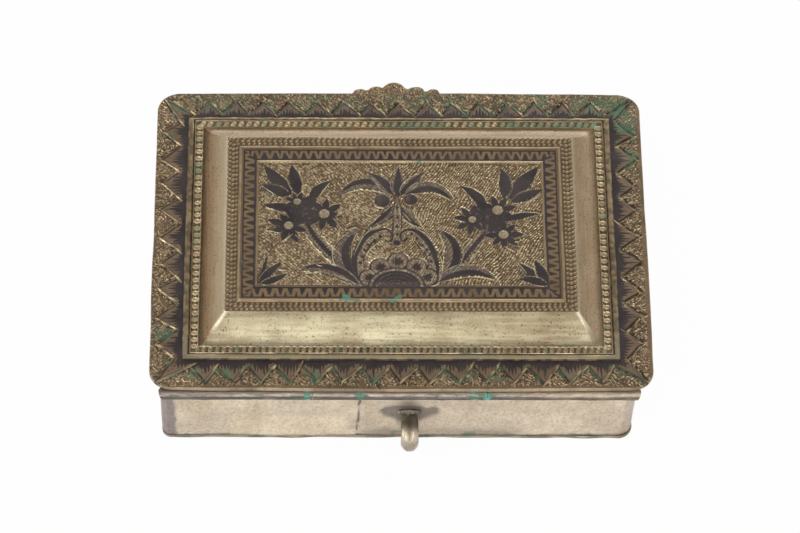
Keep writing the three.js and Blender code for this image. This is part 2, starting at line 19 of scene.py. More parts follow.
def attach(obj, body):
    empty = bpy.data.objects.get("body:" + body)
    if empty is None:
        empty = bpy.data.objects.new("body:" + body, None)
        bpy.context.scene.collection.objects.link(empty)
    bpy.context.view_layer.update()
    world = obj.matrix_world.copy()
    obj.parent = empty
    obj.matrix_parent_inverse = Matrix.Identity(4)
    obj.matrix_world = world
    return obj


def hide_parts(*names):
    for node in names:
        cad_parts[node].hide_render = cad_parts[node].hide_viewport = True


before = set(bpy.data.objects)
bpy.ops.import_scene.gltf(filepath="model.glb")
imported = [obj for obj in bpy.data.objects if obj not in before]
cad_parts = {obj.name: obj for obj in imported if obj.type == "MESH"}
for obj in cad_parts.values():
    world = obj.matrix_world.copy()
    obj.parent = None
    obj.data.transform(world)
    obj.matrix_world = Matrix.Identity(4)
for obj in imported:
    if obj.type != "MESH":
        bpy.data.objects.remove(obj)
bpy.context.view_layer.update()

log = logging.getLogger("tobacco_box")

MM = 0.001
Array = np.ndarray
ALL = slice(None)
MARKS = ("niello", "cut", "grime", "verdigris", "punched", "violet", "pale")
Piece = bpy.types.Object
Finish = bpy.types.Material
Point = tuple[float, float]


# Colours and shader nodes


def linear(colour: str) -> tuple[float, float, float, float]:
    """Turn a colour as it is seen into Blender's linear values.

    Args:
        colour: sRGB hex value, such as "#C0B596".

    Returns:
        Linear red, green, blue and alpha.
    """
    values = []
    for start in (1, 3, 5):
        share = int(colour[start : start + 2], 16) / 255
        values.append(share / 12.92 if share <= 0.04045 else ((share + 0.055) / 1.055) ** 2.4)
    return (values[0], values[1], values[2], 1.0)


def add_node(
    tree: bpy.types.NodeTree,
    kind: str,
    settings: dict[Any, Any] | None = None,
    links: dict[Any, bpy.types.NodeSocket] | None = None,
) -> bpy.types.Node:
    """Add a shader node.

    Args:
        tree: The node tree that takes the node.
        kind: Blender's name of the node type, without "ShaderNode".
        settings: Values by property name, or by input index or name.
        links: Output sockets by the input index or name that each feeds.

    Returns:
        The new node.
    """
    node = tree.nodes.new("ShaderNode" + kind)
    for key, value in (settings or {}).items():
        if isinstance(key, int) or key in node.inputs:
            node.inputs[key].default_value = value
        else:
            setattr(node, key, value)
    for key, socket in (links or {}).items():
        tree.links.new(socket, node.inputs[key])
    return node


# Finishes


@dataclass(frozen=True)
class SilveredBrass:
    """Brass sheet and castings, silvered by rubbing, then worn, tarnished and handled.

    The silvering takes the yellow out of the brass, so the metal looks like warm pewter:
    a soft, cloudy shine that is paler where hands rub it and browner in the hollows. Its colour
    also carries painted highlights, sheen and shade from the point attributes.
    """

    name: str
    silver: str = "#C9BB9B"
    tarnish: str = "#9C8768"
    dirt_and_shade: str = "#40362C"  # in the hollows, and painted shade
    bright: str = "#F0E6C8"  # colour of painted highlights on cut facets, ridges and edges
    roughness: float = 0.34
    cloud_mm: float = 6.0  # size of a cloud of tarnish
    grain_mm: float = 0.55
    pit_mm: float = 0.45
    crust_mm: float = 0.7  # size of a grain of verdigris
    punch_mm: float = 0.4  # distance between dents of the ring-ended punch
    pit_depth: float = 0.25
    speckle: float = 0.35  # how dark the specks in the pits are
    grain: float = 0.3  # how much the tone changes from grain to grain
    metal: float = 0.9  # how metallic the rubbed parts are; tarnish is less so
    pale: str = "#CDB89A"  # dry, pinkish bloom on old silvering, and painted sheen on edges and lit faces
    brown: str = "#A67A46"  # thin tarnish that still lets the metal shine, and painted shade at the foot of the left cove
    violet: str = "#7D7178"  # bare, dulled metal where the silvering went, and a painted reflection of the dark room on the wall's left corner
    verdigris: tuple[str, str] = ("#48785C", "#58B8A8")  # thin and thick
    niello: tuple[str, str] = ("#322B2A", "#4C4240")  # black, and greyer where rubbed

    def material(self) -> Finish:
        """Build the material from the point attributes that the chased pieces carry.

        Returns:
            The material.
        """
        material = bpy.data.materials.new(self.name)
        material.use_nodes = True
        tree = material.node_tree
        tree.nodes.clear()
        place = {"Vector": add_node(tree, "TexCoord").outputs["Object"]}
        marks = {
            name: add_node(tree, "Attribute", {"attribute_name": name}).outputs["Fac"]
            for name in (*MARKS, "spots", "brown")
        }
        noises = {
            name: add_node(
                tree, "TexNoise", {"Scale": 1.0 / (size * MM), "Detail": detail, "Roughness": 0.6}, place
            ).outputs["Fac"]
            for name, size, detail in (
                ("cloud", self.cloud_mm, 5.0),
                ("grain", self.grain_mm, 4.0),
                ("pit", self.pit_mm, 2.0),
                ("crust", self.crust_mm, 4.0),
            )
        }
        shares = {
            name: add_node(tree, "MapRange", {1: low, 2: high, 3: start, 4: end}, {0: source}).outputs[0]
            for name, source, low, high, start, end in (
                ("cloud", noises["cloud"], 0.36, 0.68, 0.0, 1.0),
                ("grain", noises["grain"], 0.35, 0.68, 0.0, self.grain),
                ("speck", noises["pit"], 0.59, 0.67, 0.0, 1.0),
                ("pit", noises["pit"], 0.5, 0.75, 0.0, -self.pit_depth),
                ("crust", marks["verdigris"], 0.72, 0.92, 0.0, 1.0),
                ("inlay", noises["cloud"], 0.3, 0.7, 0.0, 1.0),
            )
        }
        spots = add_node(tree, "Math", {"operation": "ADD", 1: self.speckle}, {0: marks["spots"]}).outputs[0]
        specks = add_node(tree, "Math", {"operation": "MULTIPLY"}, {0: shares["speck"], 1: spots}).outputs[0]
        # The film of verdigris is broken up by the crust noise and lets the metal show.
        links = {0: noises["crust"], 2: marks["verdigris"]}
        ragged = add_node(tree, "Math", {"operation": "MULTIPLY_ADD", 1: 0.9}, links).outputs[0]
        film = {1: 0.76, 2: 1.36, 3: 0.0, 4: 0.88}
        marks["film"] = add_node(tree, "MapRange", film, {0: ragged}).outputs[0]
        tones = {
            name: add_node(
                tree, "Mix", {"data_type": "RGBA", 6: linear(one), 7: linear(other)}, {0: shares[by]}
            ).outputs[2]
            for name, one, other, by in (
                ("green", *self.verdigris, "crust"),
                ("inlay", *self.niello, "inlay"),
                ("metal", self.silver, self.tarnish, "cloud"),
            )
        }
        colour = tones["metal"]
        # The dirt colour lays dirt and painted shade; the bright, pale and violet colours also lay painted
        # highlights, sheen and reflection.
        for share, over in (
            (shares["grain"], self.tarnish),
            (marks["pale"], self.pale),
            (marks["brown"], self.brown),
            (marks["violet"], self.violet),
            (specks, self.dirt_and_shade),
            (marks["grime"], self.dirt_and_shade),
            (marks["cut"], self.bright),
            (marks["niello"], tones["inlay"]),
            (marks["film"], tones["green"]),
        ):
            settings, links = {"data_type": "RGBA"}, {0: share, 6: colour}
            if isinstance(over, str):
                settings[7] = linear(over)
            else:
                links[7] = over
            colour = add_node(tree, "Mix", settings, links).outputs[2]
        sockets = {"Base Color": colour}
        metallic = {"pale": 0.3, "grime": 0.35, "niello": 0.4, "film": 0.0}
        rough = {"grime": 0.6, "cut": 0.24, "niello": 0.42, "film": 0.85}
        for socket, rubbed, tarnished, overs in (
            ("Metallic", self.metal, -0.24, metallic),
            ("Roughness", self.roughness, 0.14, rough),
        ):
            settings = {"data_type": "FLOAT", 2: rubbed, 3: rubbed + tarnished}
            value = add_node(tree, "Mix", settings, {0: shares["cloud"]}).outputs[0]
            for mark, over in overs.items():
                links = {0: marks[mark], 2: value}
                value = add_node(tree, "Mix", {"data_type": "FLOAT", 3: over}, links).outputs[0]
            sockets[socket] = value
        # The punched ground's dents are drawn in the bump; the relief carries the larger ones.
        rings = {"feature": "F1", "Scale": 1.0 / (self.punch_mm * MM), "Randomness": 0.9}
        punches = add_node(tree, "TexVoronoi", rings, place).outputs["Distance"]
        links = {0: punches, 1: marks["punched"]}
        dents = add_node(tree, "Math", {"operation": "MULTIPLY"}, links).outputs[0]
        links = {0: noises["grain"], 2: dents}
        fine = add_node(tree, "Math", {"operation": "MULTIPLY_ADD", 1: 0.3}, links).outputs[0]
        relief = add_node(tree, "Math", {"operation": "ADD"}, {0: fine, 1: shares["pit"]}).outputs[0]
        bump = add_node(tree, "Bump", {"Strength": 0.6, "Distance": 0.13 * MM}, {"Height": relief})
        metal = add_node(tree, "BsdfPrincipled", None, {**sockets, "Normal": bump.outputs[0]})
        add_node(tree, "OutputMaterial", None, {"Surface": metal.outputs[0]})
        return material


# Work bench: how pieces are made from primitives


def set_down() -> None:
    """Leave nothing selected."""
    if bpy.context.mode != "OBJECT":
        bpy.ops.object.mode_set(mode="OBJECT")
    bpy.ops.object.select_all(action="DESELECT")


def take(piece: Piece) -> None:
    """Select one piece alone.

    Args:
        piece: The piece.
    """
    set_down()
    piece.select_set(True)
    bpy.context.view_layer.objects.active = piece


def grid_points(across: int, along: int) -> tuple[Array, Array]:
    """Shares of a new grid's points, in Blender's order.

    Args:
        across: Faces along X.
        along: Faces along Y.

    Returns:
        The shares along X and along Y, each from 0 to 1.
    """
    v, u = np.meshgrid(np.linspace(0, 1, along + 1), np.linspace(0, 1, across + 1), indexing="ij")
    return u.ravel(), v.ravel()


def move_points(piece: Piece, x: Array, y: Array, z: Array) -> None:
    """Put a piece's points at places in millimetres."""
    places = np.stack([x, y, z], axis=1) * MM
    piece.data.vertices.foreach_set("co", places.astype(np.float32).ravel())
    piece.data.update()


def lay_grid(name: str, across: int, along: int, x: Array, y: Array, z: Array) -> Piece:
    """Add a grid and bend it to shape.

    Chased relief has a height of its own at each of its points, which no edit-mode tool
    draws, so the grid's points are placed by number.

    Args:
        name: Name of the piece.
        across: Faces along the first direction.
        along: Faces along the second direction.
        x: Place of each point in millimetres, in the order of grid_points.
        y: The same along Y.
        z: The same along Z.

    Returns:
        The piece, still open at its border.
    """
    set_down()
    bpy.ops.mesh.primitive_grid_add(x_subdivisions=across, y_subdivisions=along, size=1.0)
    piece = bpy.context.active_object
    piece.name = piece.data.name = name
    move_points(piece, x, y, z)
    return piece


def paint(piece: Piece, marks: dict[str, Array]) -> None:
    """Write point attributes that the finish reads.

    Args:
        piece: The piece.
        marks: Values by attribute name, one for each point.
    """
    for name, values in marks.items():
        layer = piece.data.attributes.new(name, "FLOAT", "POINT")
        layer.data.foreach_set("value", np.clip(values, 0, 1).astype(np.float32))


def close_under(piece: Piece, marks: dict[str, Array], floor_mm: float) -> None:
    """Paint an open relief, draw its border down to a level and close it there.

    Args:
        piece: The open relief.
        marks: Its attributes.
        floor_mm: Height of its flat underside.
    """
    paint(piece, marks)
    take(piece)
    bpy.ops.object.mode_set(mode="EDIT")
    bpy.ops.mesh.select_mode(type="EDGE")
    bpy.ops.mesh.select_all(action="DESELECT")
    bpy.ops.mesh.select_non_manifold()
    bpy.ops.mesh.extrude_region_move()
    bpy.ops.transform.resize(value=(1, 1, 0), center_override=(0, 0, floor_mm * MM))
    face_outwards()


def join_seams(piece: Piece, marks: dict[str, Array], close: bool = True) -> None:
    """Paint a grid that was bent round, merge its seams, and close what stays open.

    Args:
        piece: The piece.
        marks: Its attributes.
        close: Whether open loops are filled.
    """
    paint(piece, marks)
    take(piece)
    bpy.ops.object.mode_set(mode="EDIT")
    bpy.ops.mesh.select_mode(type="EDGE")
    bpy.ops.mesh.select_all(action="SELECT")
    bpy.ops.mesh.remove_doubles(threshold=1e-6)
    bpy.ops.mesh.select_all(action="DESELECT")
    if close:
        bpy.ops.mesh.select_non_manifold()
    face_outwards(close)


def face_outwards(fill: bool = True) -> None:
    """Fill the selected border, turn all faces outwards and leave edit mode."""
    if fill:
        bpy.ops.mesh.edge_face_add()
    bpy.ops.mesh.select_all(action="SELECT")
    bpy.ops.mesh.normals_make_consistent(inside=False)
    set_down()


def finish_piece(
    piece: Piece,
    finish: Finish,
    body: str,
    nodes: Sequence[str] = (),
    angle_deg: float = 50.0,
) -> None:
    """Shade a piece, and give it its finish, its body and the nodes that it stands for.

    Args:
        piece: The piece.
        finish: Its finish.
        body: The body that it rides on.
        nodes: CAD nodes that it replaces.
        angle_deg: Edges sharper than this stay sharp.
    """
    take(piece)
    bpy.ops.object.shade_smooth_by_angle(angle=math.radians(angle_deg))
    set_down()
    piece.data.materials.clear()
    piece.data.materials.append(finish)
    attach(piece, body)
    if nodes:
        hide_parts(*nodes)
    log.info("%s: %d faces", piece.name, len(piece.data.polygons))


# Hand: noise and curves that the relief is drawn with


def clouds(x: Array, y: Array, size: float, seed: int) -> Array:
    """Smooth noise over a surface.

    Args:
        x: Places along one direction, in millimetres.
        y: Places along the other.
        size: Distance between its random values.
        seed: Number that fixes it.

    Returns:
        A value from 0 to 1 for each place.
    """
    cells = 128  # the noise repeats after this many
    values = np.random.default_rng(seed).random((cells, cells))
    across = x / size + cells / 2
    along = y / size + cells / 2
    i = np.floor(across).astype(int)
    j = np.floor(along).astype(int)
    fx = across - i
    fy = along - j
    fx = fx * fx * (3 - 2 * fx)
    fy = fy * fy * (3 - 2 * fy)
    i %= cells
    j %= cells
    i1 = (i + 1) % cells
    j1 = (j + 1) % cells
    low = values[i, j] * (1 - fx) + values[i1, j] * fx
    high = values[i, j1] * (1 - fx) + values[i1, j1] * fx
    return low * (1 - fy) + high * fy


def waver(x: Array, y: Array, size: float, seed: int, reach: float) -> Array:
    """Smooth noise that strays half its reach to either side of 0."""
    return reach * (clouds(x, y, size, seed) - 0.5)


def step(value: Array, low: float, high: float) -> Array:
    """Rise smoothly from 0 at low to 1 at high."""
    share = np.clip((value - low) / (high - low), 0, 1)
    return share * share * (3 - 2 * share)


def fall(value: Array, low: float, high: float) -> Array:
    """Fall smoothly from 1 at low to 0 at high."""
    return 1 - step(value, low, high)


def hump(value: Array, middle: float, width: float) -> Array:
    """Rise to 1 at a middle and die away on both sides of it."""
    return np.exp(-(((value - middle) / width) ** 2))


def swing(value: Array) -> Array:
    """Fall from 1 to 0 and rise again once in each whole number."""
    return np.abs((value % 1) - 0.5) * 2


def dimples(x: Array, y: Array, spacing: float, seed: int) -> Array:
    """Distance to the nearest of many punch marks set about a spacing apart.

    Args:
        x: Places along one direction, in millimetres.
        y: Places along the other.
        spacing: Distance between marks.
        seed: Number that fixes where they fall.

    Returns:
        The distance as a share of the spacing.
    """
    cells = 256  # the marks repeat after this many
    rng = np.random.default_rng(seed)
    shift_x = rng.random((cells, cells)) * 0.8
    shift_y = rng.random((cells, cells)) * 0.8
    across = x / spacing
    along = y / spacing
    i = np.floor(across).astype(int)
    j = np.floor(along).astype(int)
    nearest = np.full(x.shape, 9.0)
    for di in (-1, 0, 1):
        for dj in (-1, 0, 1):
            ci = (i + di) % cells
            cj = (j + dj) % cells
            dx = i + di + shift_x[ci, cj] - across
            dy = j + dj + shift_y[ci, cj] - along
            nearest = np.minimum(nearest, dx * dx + dy * dy)
    return np.sqrt(nearest)


def arc(start: Point, middle: Point, end: Point) -> list[Point]:
    """A smooth curve through three points.

    Args:
        start: Its first point.
        middle: The point half way.
        end: Its last point.

    Returns:
        Its points.
    """
    count = 14
    pull_x = 2 * middle[0] - (start[0] + end[0]) / 2
    pull_y = 2 * middle[1] - (start[1] + end[1]) / 2
    points = []
    for k in range(count + 1):
        t = k / count
        a, b, c = (1 - t) ** 2, 2 * t * (1 - t), t * t
        points.append((a * start[0] + b * pull_x + c * end[0], a * start[1] + b * pull_y + c * end[1]))
    return points


def smooth_line(points: Sequence[Point]) -> list[Point]:
    """A curve that passes through each of several points.

    Args:
        points: The points.

    Returns:
        The curve's points.
    """
    if len(points) < 3:
        return list(points)
    steps = 5  # between two of the points
    padded = [points[0], *points, points[-1]]
    line = []
    for k in range(1, len(padded) - 2):
        p0, p1, p2, p3 = (np.array(padded[k + d], float) for d in (-1, 0, 1, 2))
        for s in range(steps):
            t = s / steps
            q = 0.5 * (
                2 * p1
                + (p2 - p0) * t
                + (2 * p0 - 5 * p1 + 4 * p2 - p3) * t * t
                + (3 * p1 - p0 - 3 * p2 + p3) * t**3
            )
            line.append((float(q[0]), float(q[1])))
    line.append(points[-1])
    return line


class Relief:
    """A metal surface that is chased, cut and inlaid, point by point."""

    def __init__(self, x: Array, y: Array) -> None:
        """Start a flat surface.

        Args:
            x: Places of its points in millimetres.
            y: Their places along the other direction.
        """
        self.x = x
        self.y = y
        self.height = np.zeros(x.shape)
        for name in MARKS:
            setattr(self, name, np.zeros(x.shape))

    def marks(self) -> dict[str, Array]:
        """The attributes that the finish reads."""
        return {name: getattr(self, name) for name in MARKS}

    def near(self, points: Sequence[Point], margin: float) -> Array:
        """Find the surface's points about a line.

        Args:
            points: The line's points.
            margin: How far from their box to look.

        Returns:
            Indices of the points.
        """
        xs = [p[0] for p in points]
        ys = [p[1] for p in points]
        inside = (
            (self.x > min(xs) - margin)
            & (self.x < max(xs) + margin)
            & (self.y > min(ys) - margin)
            & (self.y < max(ys) + margin)
        )
        return np.nonzero(inside)[0]

    def along(self, points: Sequence[Point], margin: float) -> tuple[Array, Array, Array]:
        """Measure the surface's points along and across a line.

        Args:
            points: The line's points.
            margin: How far from it to look.

        Returns:
            Indices of the points near it, how far along it each is from 0 to 1, and its
            distance from it, positive on the left.
        """
        where = self.near(points, margin)
        if not len(where):
            return where, np.zeros(0), np.zeros(0)
        x, y = self.x[where], self.y[where]
        lengths = [math.dist(a, b) for a, b in zip(points, points[1:])]
        whole = sum(lengths) or 1.0
        best = np.full(x.shape, 1e9)
        share = np.zeros(x.shape)
        side = np.ones(x.shape)
        gone = 0.0
        for (ax, ay), (bx, by), length in zip(points, points[1:], lengths):
            if length < 1e-9:
                continue
            ux, uy = (bx - ax) / length, (by - ay) / length
            raw = (x - ax) * ux + (y - ay) * uy
            t = np.clip(raw, 0, length)
            dx, dy = x - ax - ux * t, y - ay - uy * t
            distance = dx * dx + dy * dy
            closer = distance < best
            best = np.where(closer, distance, best)
            share = np.where(closer, (gone + t) / whole, share)
            side = np.where(closer, np.sign(ux * (y - ay) - uy * (x - ax)), side)
            gone += length
        distance = np.sqrt(best) * np.where(side == 0, 1, side)
        keep = np.abs(distance) < margin
        return where[keep], share[keep], distance[keep]

    def lay(self, values: Array, where: Array, share: Array, value: float | Array = 1.0) -> None:
        """Bring values towards another by a share.

        Args:
            values: The attribute.
            where: Indices of the points.
            share: How far each goes.
            value: What it goes to.
        """
        values[where] += (value - values[where]) * share

    def inlay(self, where: Array, share: Array) -> None:
        """Fill points with niello by a share."""
        self.lay(self.niello, where, share)

    def bare(self, where: Array, share: Array) -> None:
        """Take the niello off points by a share."""
        self.lay(self.niello, where, share, 0.0)

    def flat(self, where: Array, share: Array, level: float = 0.0) -> None:
        """Leave plain metal at a level where the ground was punched down."""
        self.lay(self.height, where, share, level)
        self.lay(self.punched, where, share, 0.0)
        self.lay(self.grime, where, share, 0.0)
        self.lay(self.violet, where, 0.3 * share)

    def groove(
        self,
        points: Sequence[Point],
        half_width: float,
        depth: float,
        bright: float = 1.0,
        lit_left: bool = True,
    ) -> None:
        """Cut a line with the graver: a V with a painted highlight on one flank and painted shade on the
        other.

        Args:
            points: The line.
            half_width: Half its width at the middle; it tapers to its ends.
            depth: Its depth at the middle.
            bright: How strong the painted highlight on the lit flank is.
            lit_left: Whether the flank on the left of the line is the lit one.
        """
        where, t, s = self.along(points, 2.2 * half_width)
        if not len(where):
            return
        width = half_width * (0.35 + 0.65 * np.sin(np.pi * np.clip(t, 0.0, 1.0)) ** 0.6)
        vee = np.clip(1 - np.abs(s) / width, 0, 1)
        self.height[where] -= depth * vee * np.minimum(1, width / half_width)
        # The lit flank gets a painted highlight, broken up at random, and the other flank painted shade.
        lit = s if lit_left else -s
        flank = step(lit / width, -0.25, 0.1) * fall(lit / width, 0.7, 1.15)
        wear_and_highlight = np.clip(1.9 * clouds(self.x[where], self.y[where], 1.2, 17) - 0.15, 0, 1)
        self.lay(self.cut, where, np.clip(bright * flank * wear_and_highlight, 0, 1))
        self.lay(self.punched, where, flank, 0.0)
        shade = step(-lit / width, 0.05, 0.35) * fall(-lit / width, 1.0, 1.8)
        self.lay(self.grime, where, 0.9 * shade)
        self.lay(self.niello, where, 0.8 * flank, 0.0)


# The chased and inlaid motif of the panel, in millimetres from the panel's centre


class LeafKind(Enum):
    """How a leaf is worked."""

    DARK = "filled with niello, with a toothed edge"
    VEINED = "plain metal with a dark heart and veins"
    BLADE = "long and curled, half dark and half hatched"


class Lit(Enum):
    """Which outlines of a leaf get a strong painted highlight."""

    NONE = (False, False)
    LEFT = (True, False)
    RIGHT = (False, True)
    BOTH = (True, True)


@dataclass(frozen=True)
class Leaf:
    """A pointed leaf, drawn through three points, with half its width in millimetres."""

    start: Point
    middle: Point
    tip: Point
    width: float
    kind: LeafKind = LeafKind.DARK
    lit: Lit = Lit.NONE

    def cut_into(self, relief: Relief, seed: int) -> None:
        """Work the leaf into a surface.

        Args:
            relief: The surface.
            seed: Number that fixes its teeth and veins.
        """
        spine = arc(self.start, self.middle, self.tip)
        where, t, s = relief.along(spine, self.width * 1.6 + 0.3)
        if not len(where):
            return
        length = sum(math.dist(a, b) for a, b in zip(spine, spine[1:]))
        shape = np.sin(np.pi * np.clip(t, 0, 1) ** 0.82) ** 0.85 + 0.1 * (1 - t)
        width = self.width * np.maximum(shape, 0.02)
        share = np.abs(s) / width
        body = fall(np.abs(s) - width, -0.06, 0.1)
        rng = np.random.default_rng(seed)
        phase = rng.random()
        teeth = swing(t * length / 0.62 + phase + share * 0.9)
        streaks = swing(s / 0.3 + 0.35 * np.sin(t * 5 + phase))
        if self.kind is LeafKind.DARK:
            core = 0.72 + 0.26 * teeth
            dark = fall(share, core, core + 0.14)
        elif self.kind is LeafKind.VEINED:
            heart = fall(share + 0.5 * t, 0.72, 0.9)
            veins = step(streaks, 0.5, 0.75) * fall(share, 0.7, 0.85) * fall(t, 0.75, 0.9)
            dark = np.maximum(heart, 0.85 * veins)
        else:
            half_dark = step(s / width, -0.95, -0.75) * fall(s / width, 0.0, 0.25)
            hatch = step(streaks, 0.35, 0.6) * step(s / width, 0.0, 0.2) * fall(s / width, 0.75, 0.95)
            dark = np.maximum(half_dark * fall(t, 0.82, 0.97), 0.8 * hatch)
        relief.flat(where, body, 0.02)
        relief.bare(where, body)
        relief.inlay(where, body * dark)
        left, right = self.lit.value
        # Lit outlines get a strong painted highlight, the others a faint one.
        bright_cut, faint_cut = (0.2, 0.12, 0.95), (0.14, 0.09, 0.5)
        for side, shown in ((1, left), (-1, right)):
            cut = bright_cut if shown else faint_cut
            relief.groove(self.outline(spine, side), *cut, side > 0)

    def outline(self, spine: Sequence[Point], side: int) -> list[Point]:
        """The line along one edge of the leaf.

        Args:
            spine: Its middle line.
            side: 1 for the left edge, -1 for the right one.

        Returns:
            The edge's points.
        """
        points = []
        last = len(spine) - 1
        for k, (x, y) in enumerate(spine):
            t = k / last
            ax, ay = spine[max(k - 1, 0)]
            bx, by = spine[min(k + 1, last)]
            length = math.hypot(bx - ax, by - ay) or 1.0
            reach = self.width * (math.sin(math.pi * t**0.82) ** 0.85 + 0.1 * (1 - t)) + 0.06
            points.append((x - side * (by - ay) / length * reach, y + side * (bx - ax) / length * reach))
        return points[1:-1] if last > 3 else points


@dataclass(frozen=True)
class StarFlower:
    """A niello flower with pointed petals and a bare metal eye."""

    centre: Point
    radius: float
    eye: float
    petals: int = 8

    def cut_into(self, relief: Relief, seed: int) -> None:
        """Work the flower into a surface.

        Args:
            relief: The surface.
            seed: Number that fixes its petals.
        """
        where = relief.near([self.centre], 1.35 * self.radius)
        if not len(where):
            return
        x = relief.x[where] - self.centre[0]
        y = relief.y[where] - self.centre[1]
        distance = np.hypot(x, y)
        rng = np.random.default_rng(seed)
        turn = rng.random() * 2 * np.pi
        place = ((np.arctan2(y, x) + turn) / (2 * np.pi) % 1) * self.petals
        petal = place.astype(int) % self.petals
        lengths = self.radius * (0.9 + 0.22 * rng.random(self.petals))[petal]
        peak = 1 - np.abs(2 * (place % 1) - 1)
        reach = lengths * (0.48 + 0.52 * peak**0.9)
        notch = 0.1 * np.abs(((distance / 0.28) % 1) - 0.5)
        dark = fall(distance - reach * (1 - notch), -0.08, 0.1)
        plain = fall(distance - reach - 0.22, -0.05, 0.12)
        plain = plain * fall(relief.niello[where], 0.4, 0.7)
        relief.flat(where, plain, 0.02)
        relief.bare(where, plain)
        relief.inlay(where, dark)
        slot = fall(peak, 0.03, 0.16) * step(distance, self.radius * 0.38, self.radius * 0.5)
        relief.bare(where, slot * dark * 0.8)
        bare = fall(distance, self.eye - 0.08, self.eye + 0.06)
        relief.bare(where, bare)
        relief.lay(relief.height, where, bare, 0.08)
        # The raised eye gets a faint painted highlight.
        relief.lay(relief.cut, where, 0.25 * bare)


@dataclass(frozen=True)
class Band:
    """A flat metal band with a row of dark dots and a dark line along each edge."""

    line: tuple[Point, ...]
    width: float
    dots: tuple[Point, ...]
    dark_line: float = 0.5

    def cut_into(self, relief: Relief, mirrored: bool) -> None:
        """Work the band into a surface.

        Args:
            relief: The surface.
            mirrored: Whether the metal lies on the left of the line, not the right.
        """
        line = smooth_line(self.line)
        where, t, s = relief.along(line, self.width + 0.6)
        if not len(where):
            return
        s = s if mirrored else -s
        metal = step(s, -self.dark_line, 0) * fall(s, self.width - 0.1, self.width + 0.05)
        metal = metal * fall(t, 0.78, 0.86)
        inner_edge = fall(np.abs(s - self.width), 0.06, 0.16) * fall(t, 0.74, 0.82)
        relief.flat(where, metal, 0.03)
        relief.bare(where, metal)
        relief.inlay(where, 0.9 * inner_edge)
        thick = self.dark_line * (0.3 + 0.8 * np.sin(np.pi * np.clip(t * 1.25, 0, 1)))
        dark = fall(np.abs(s), thick, thick + 0.12)
        relief.inlay(where, dark)
        relief.lay(relief.height, where, dark, 0.0)
        for dot in self.dots:
            spot = relief.near([dot], 0.5)
            distance = np.hypot(relief.x[spot] - dot[0], (relief.y[spot] - dot[1]) * 0.8)
            relief.inlay(spot, fall(distance, 0.22, 0.38))


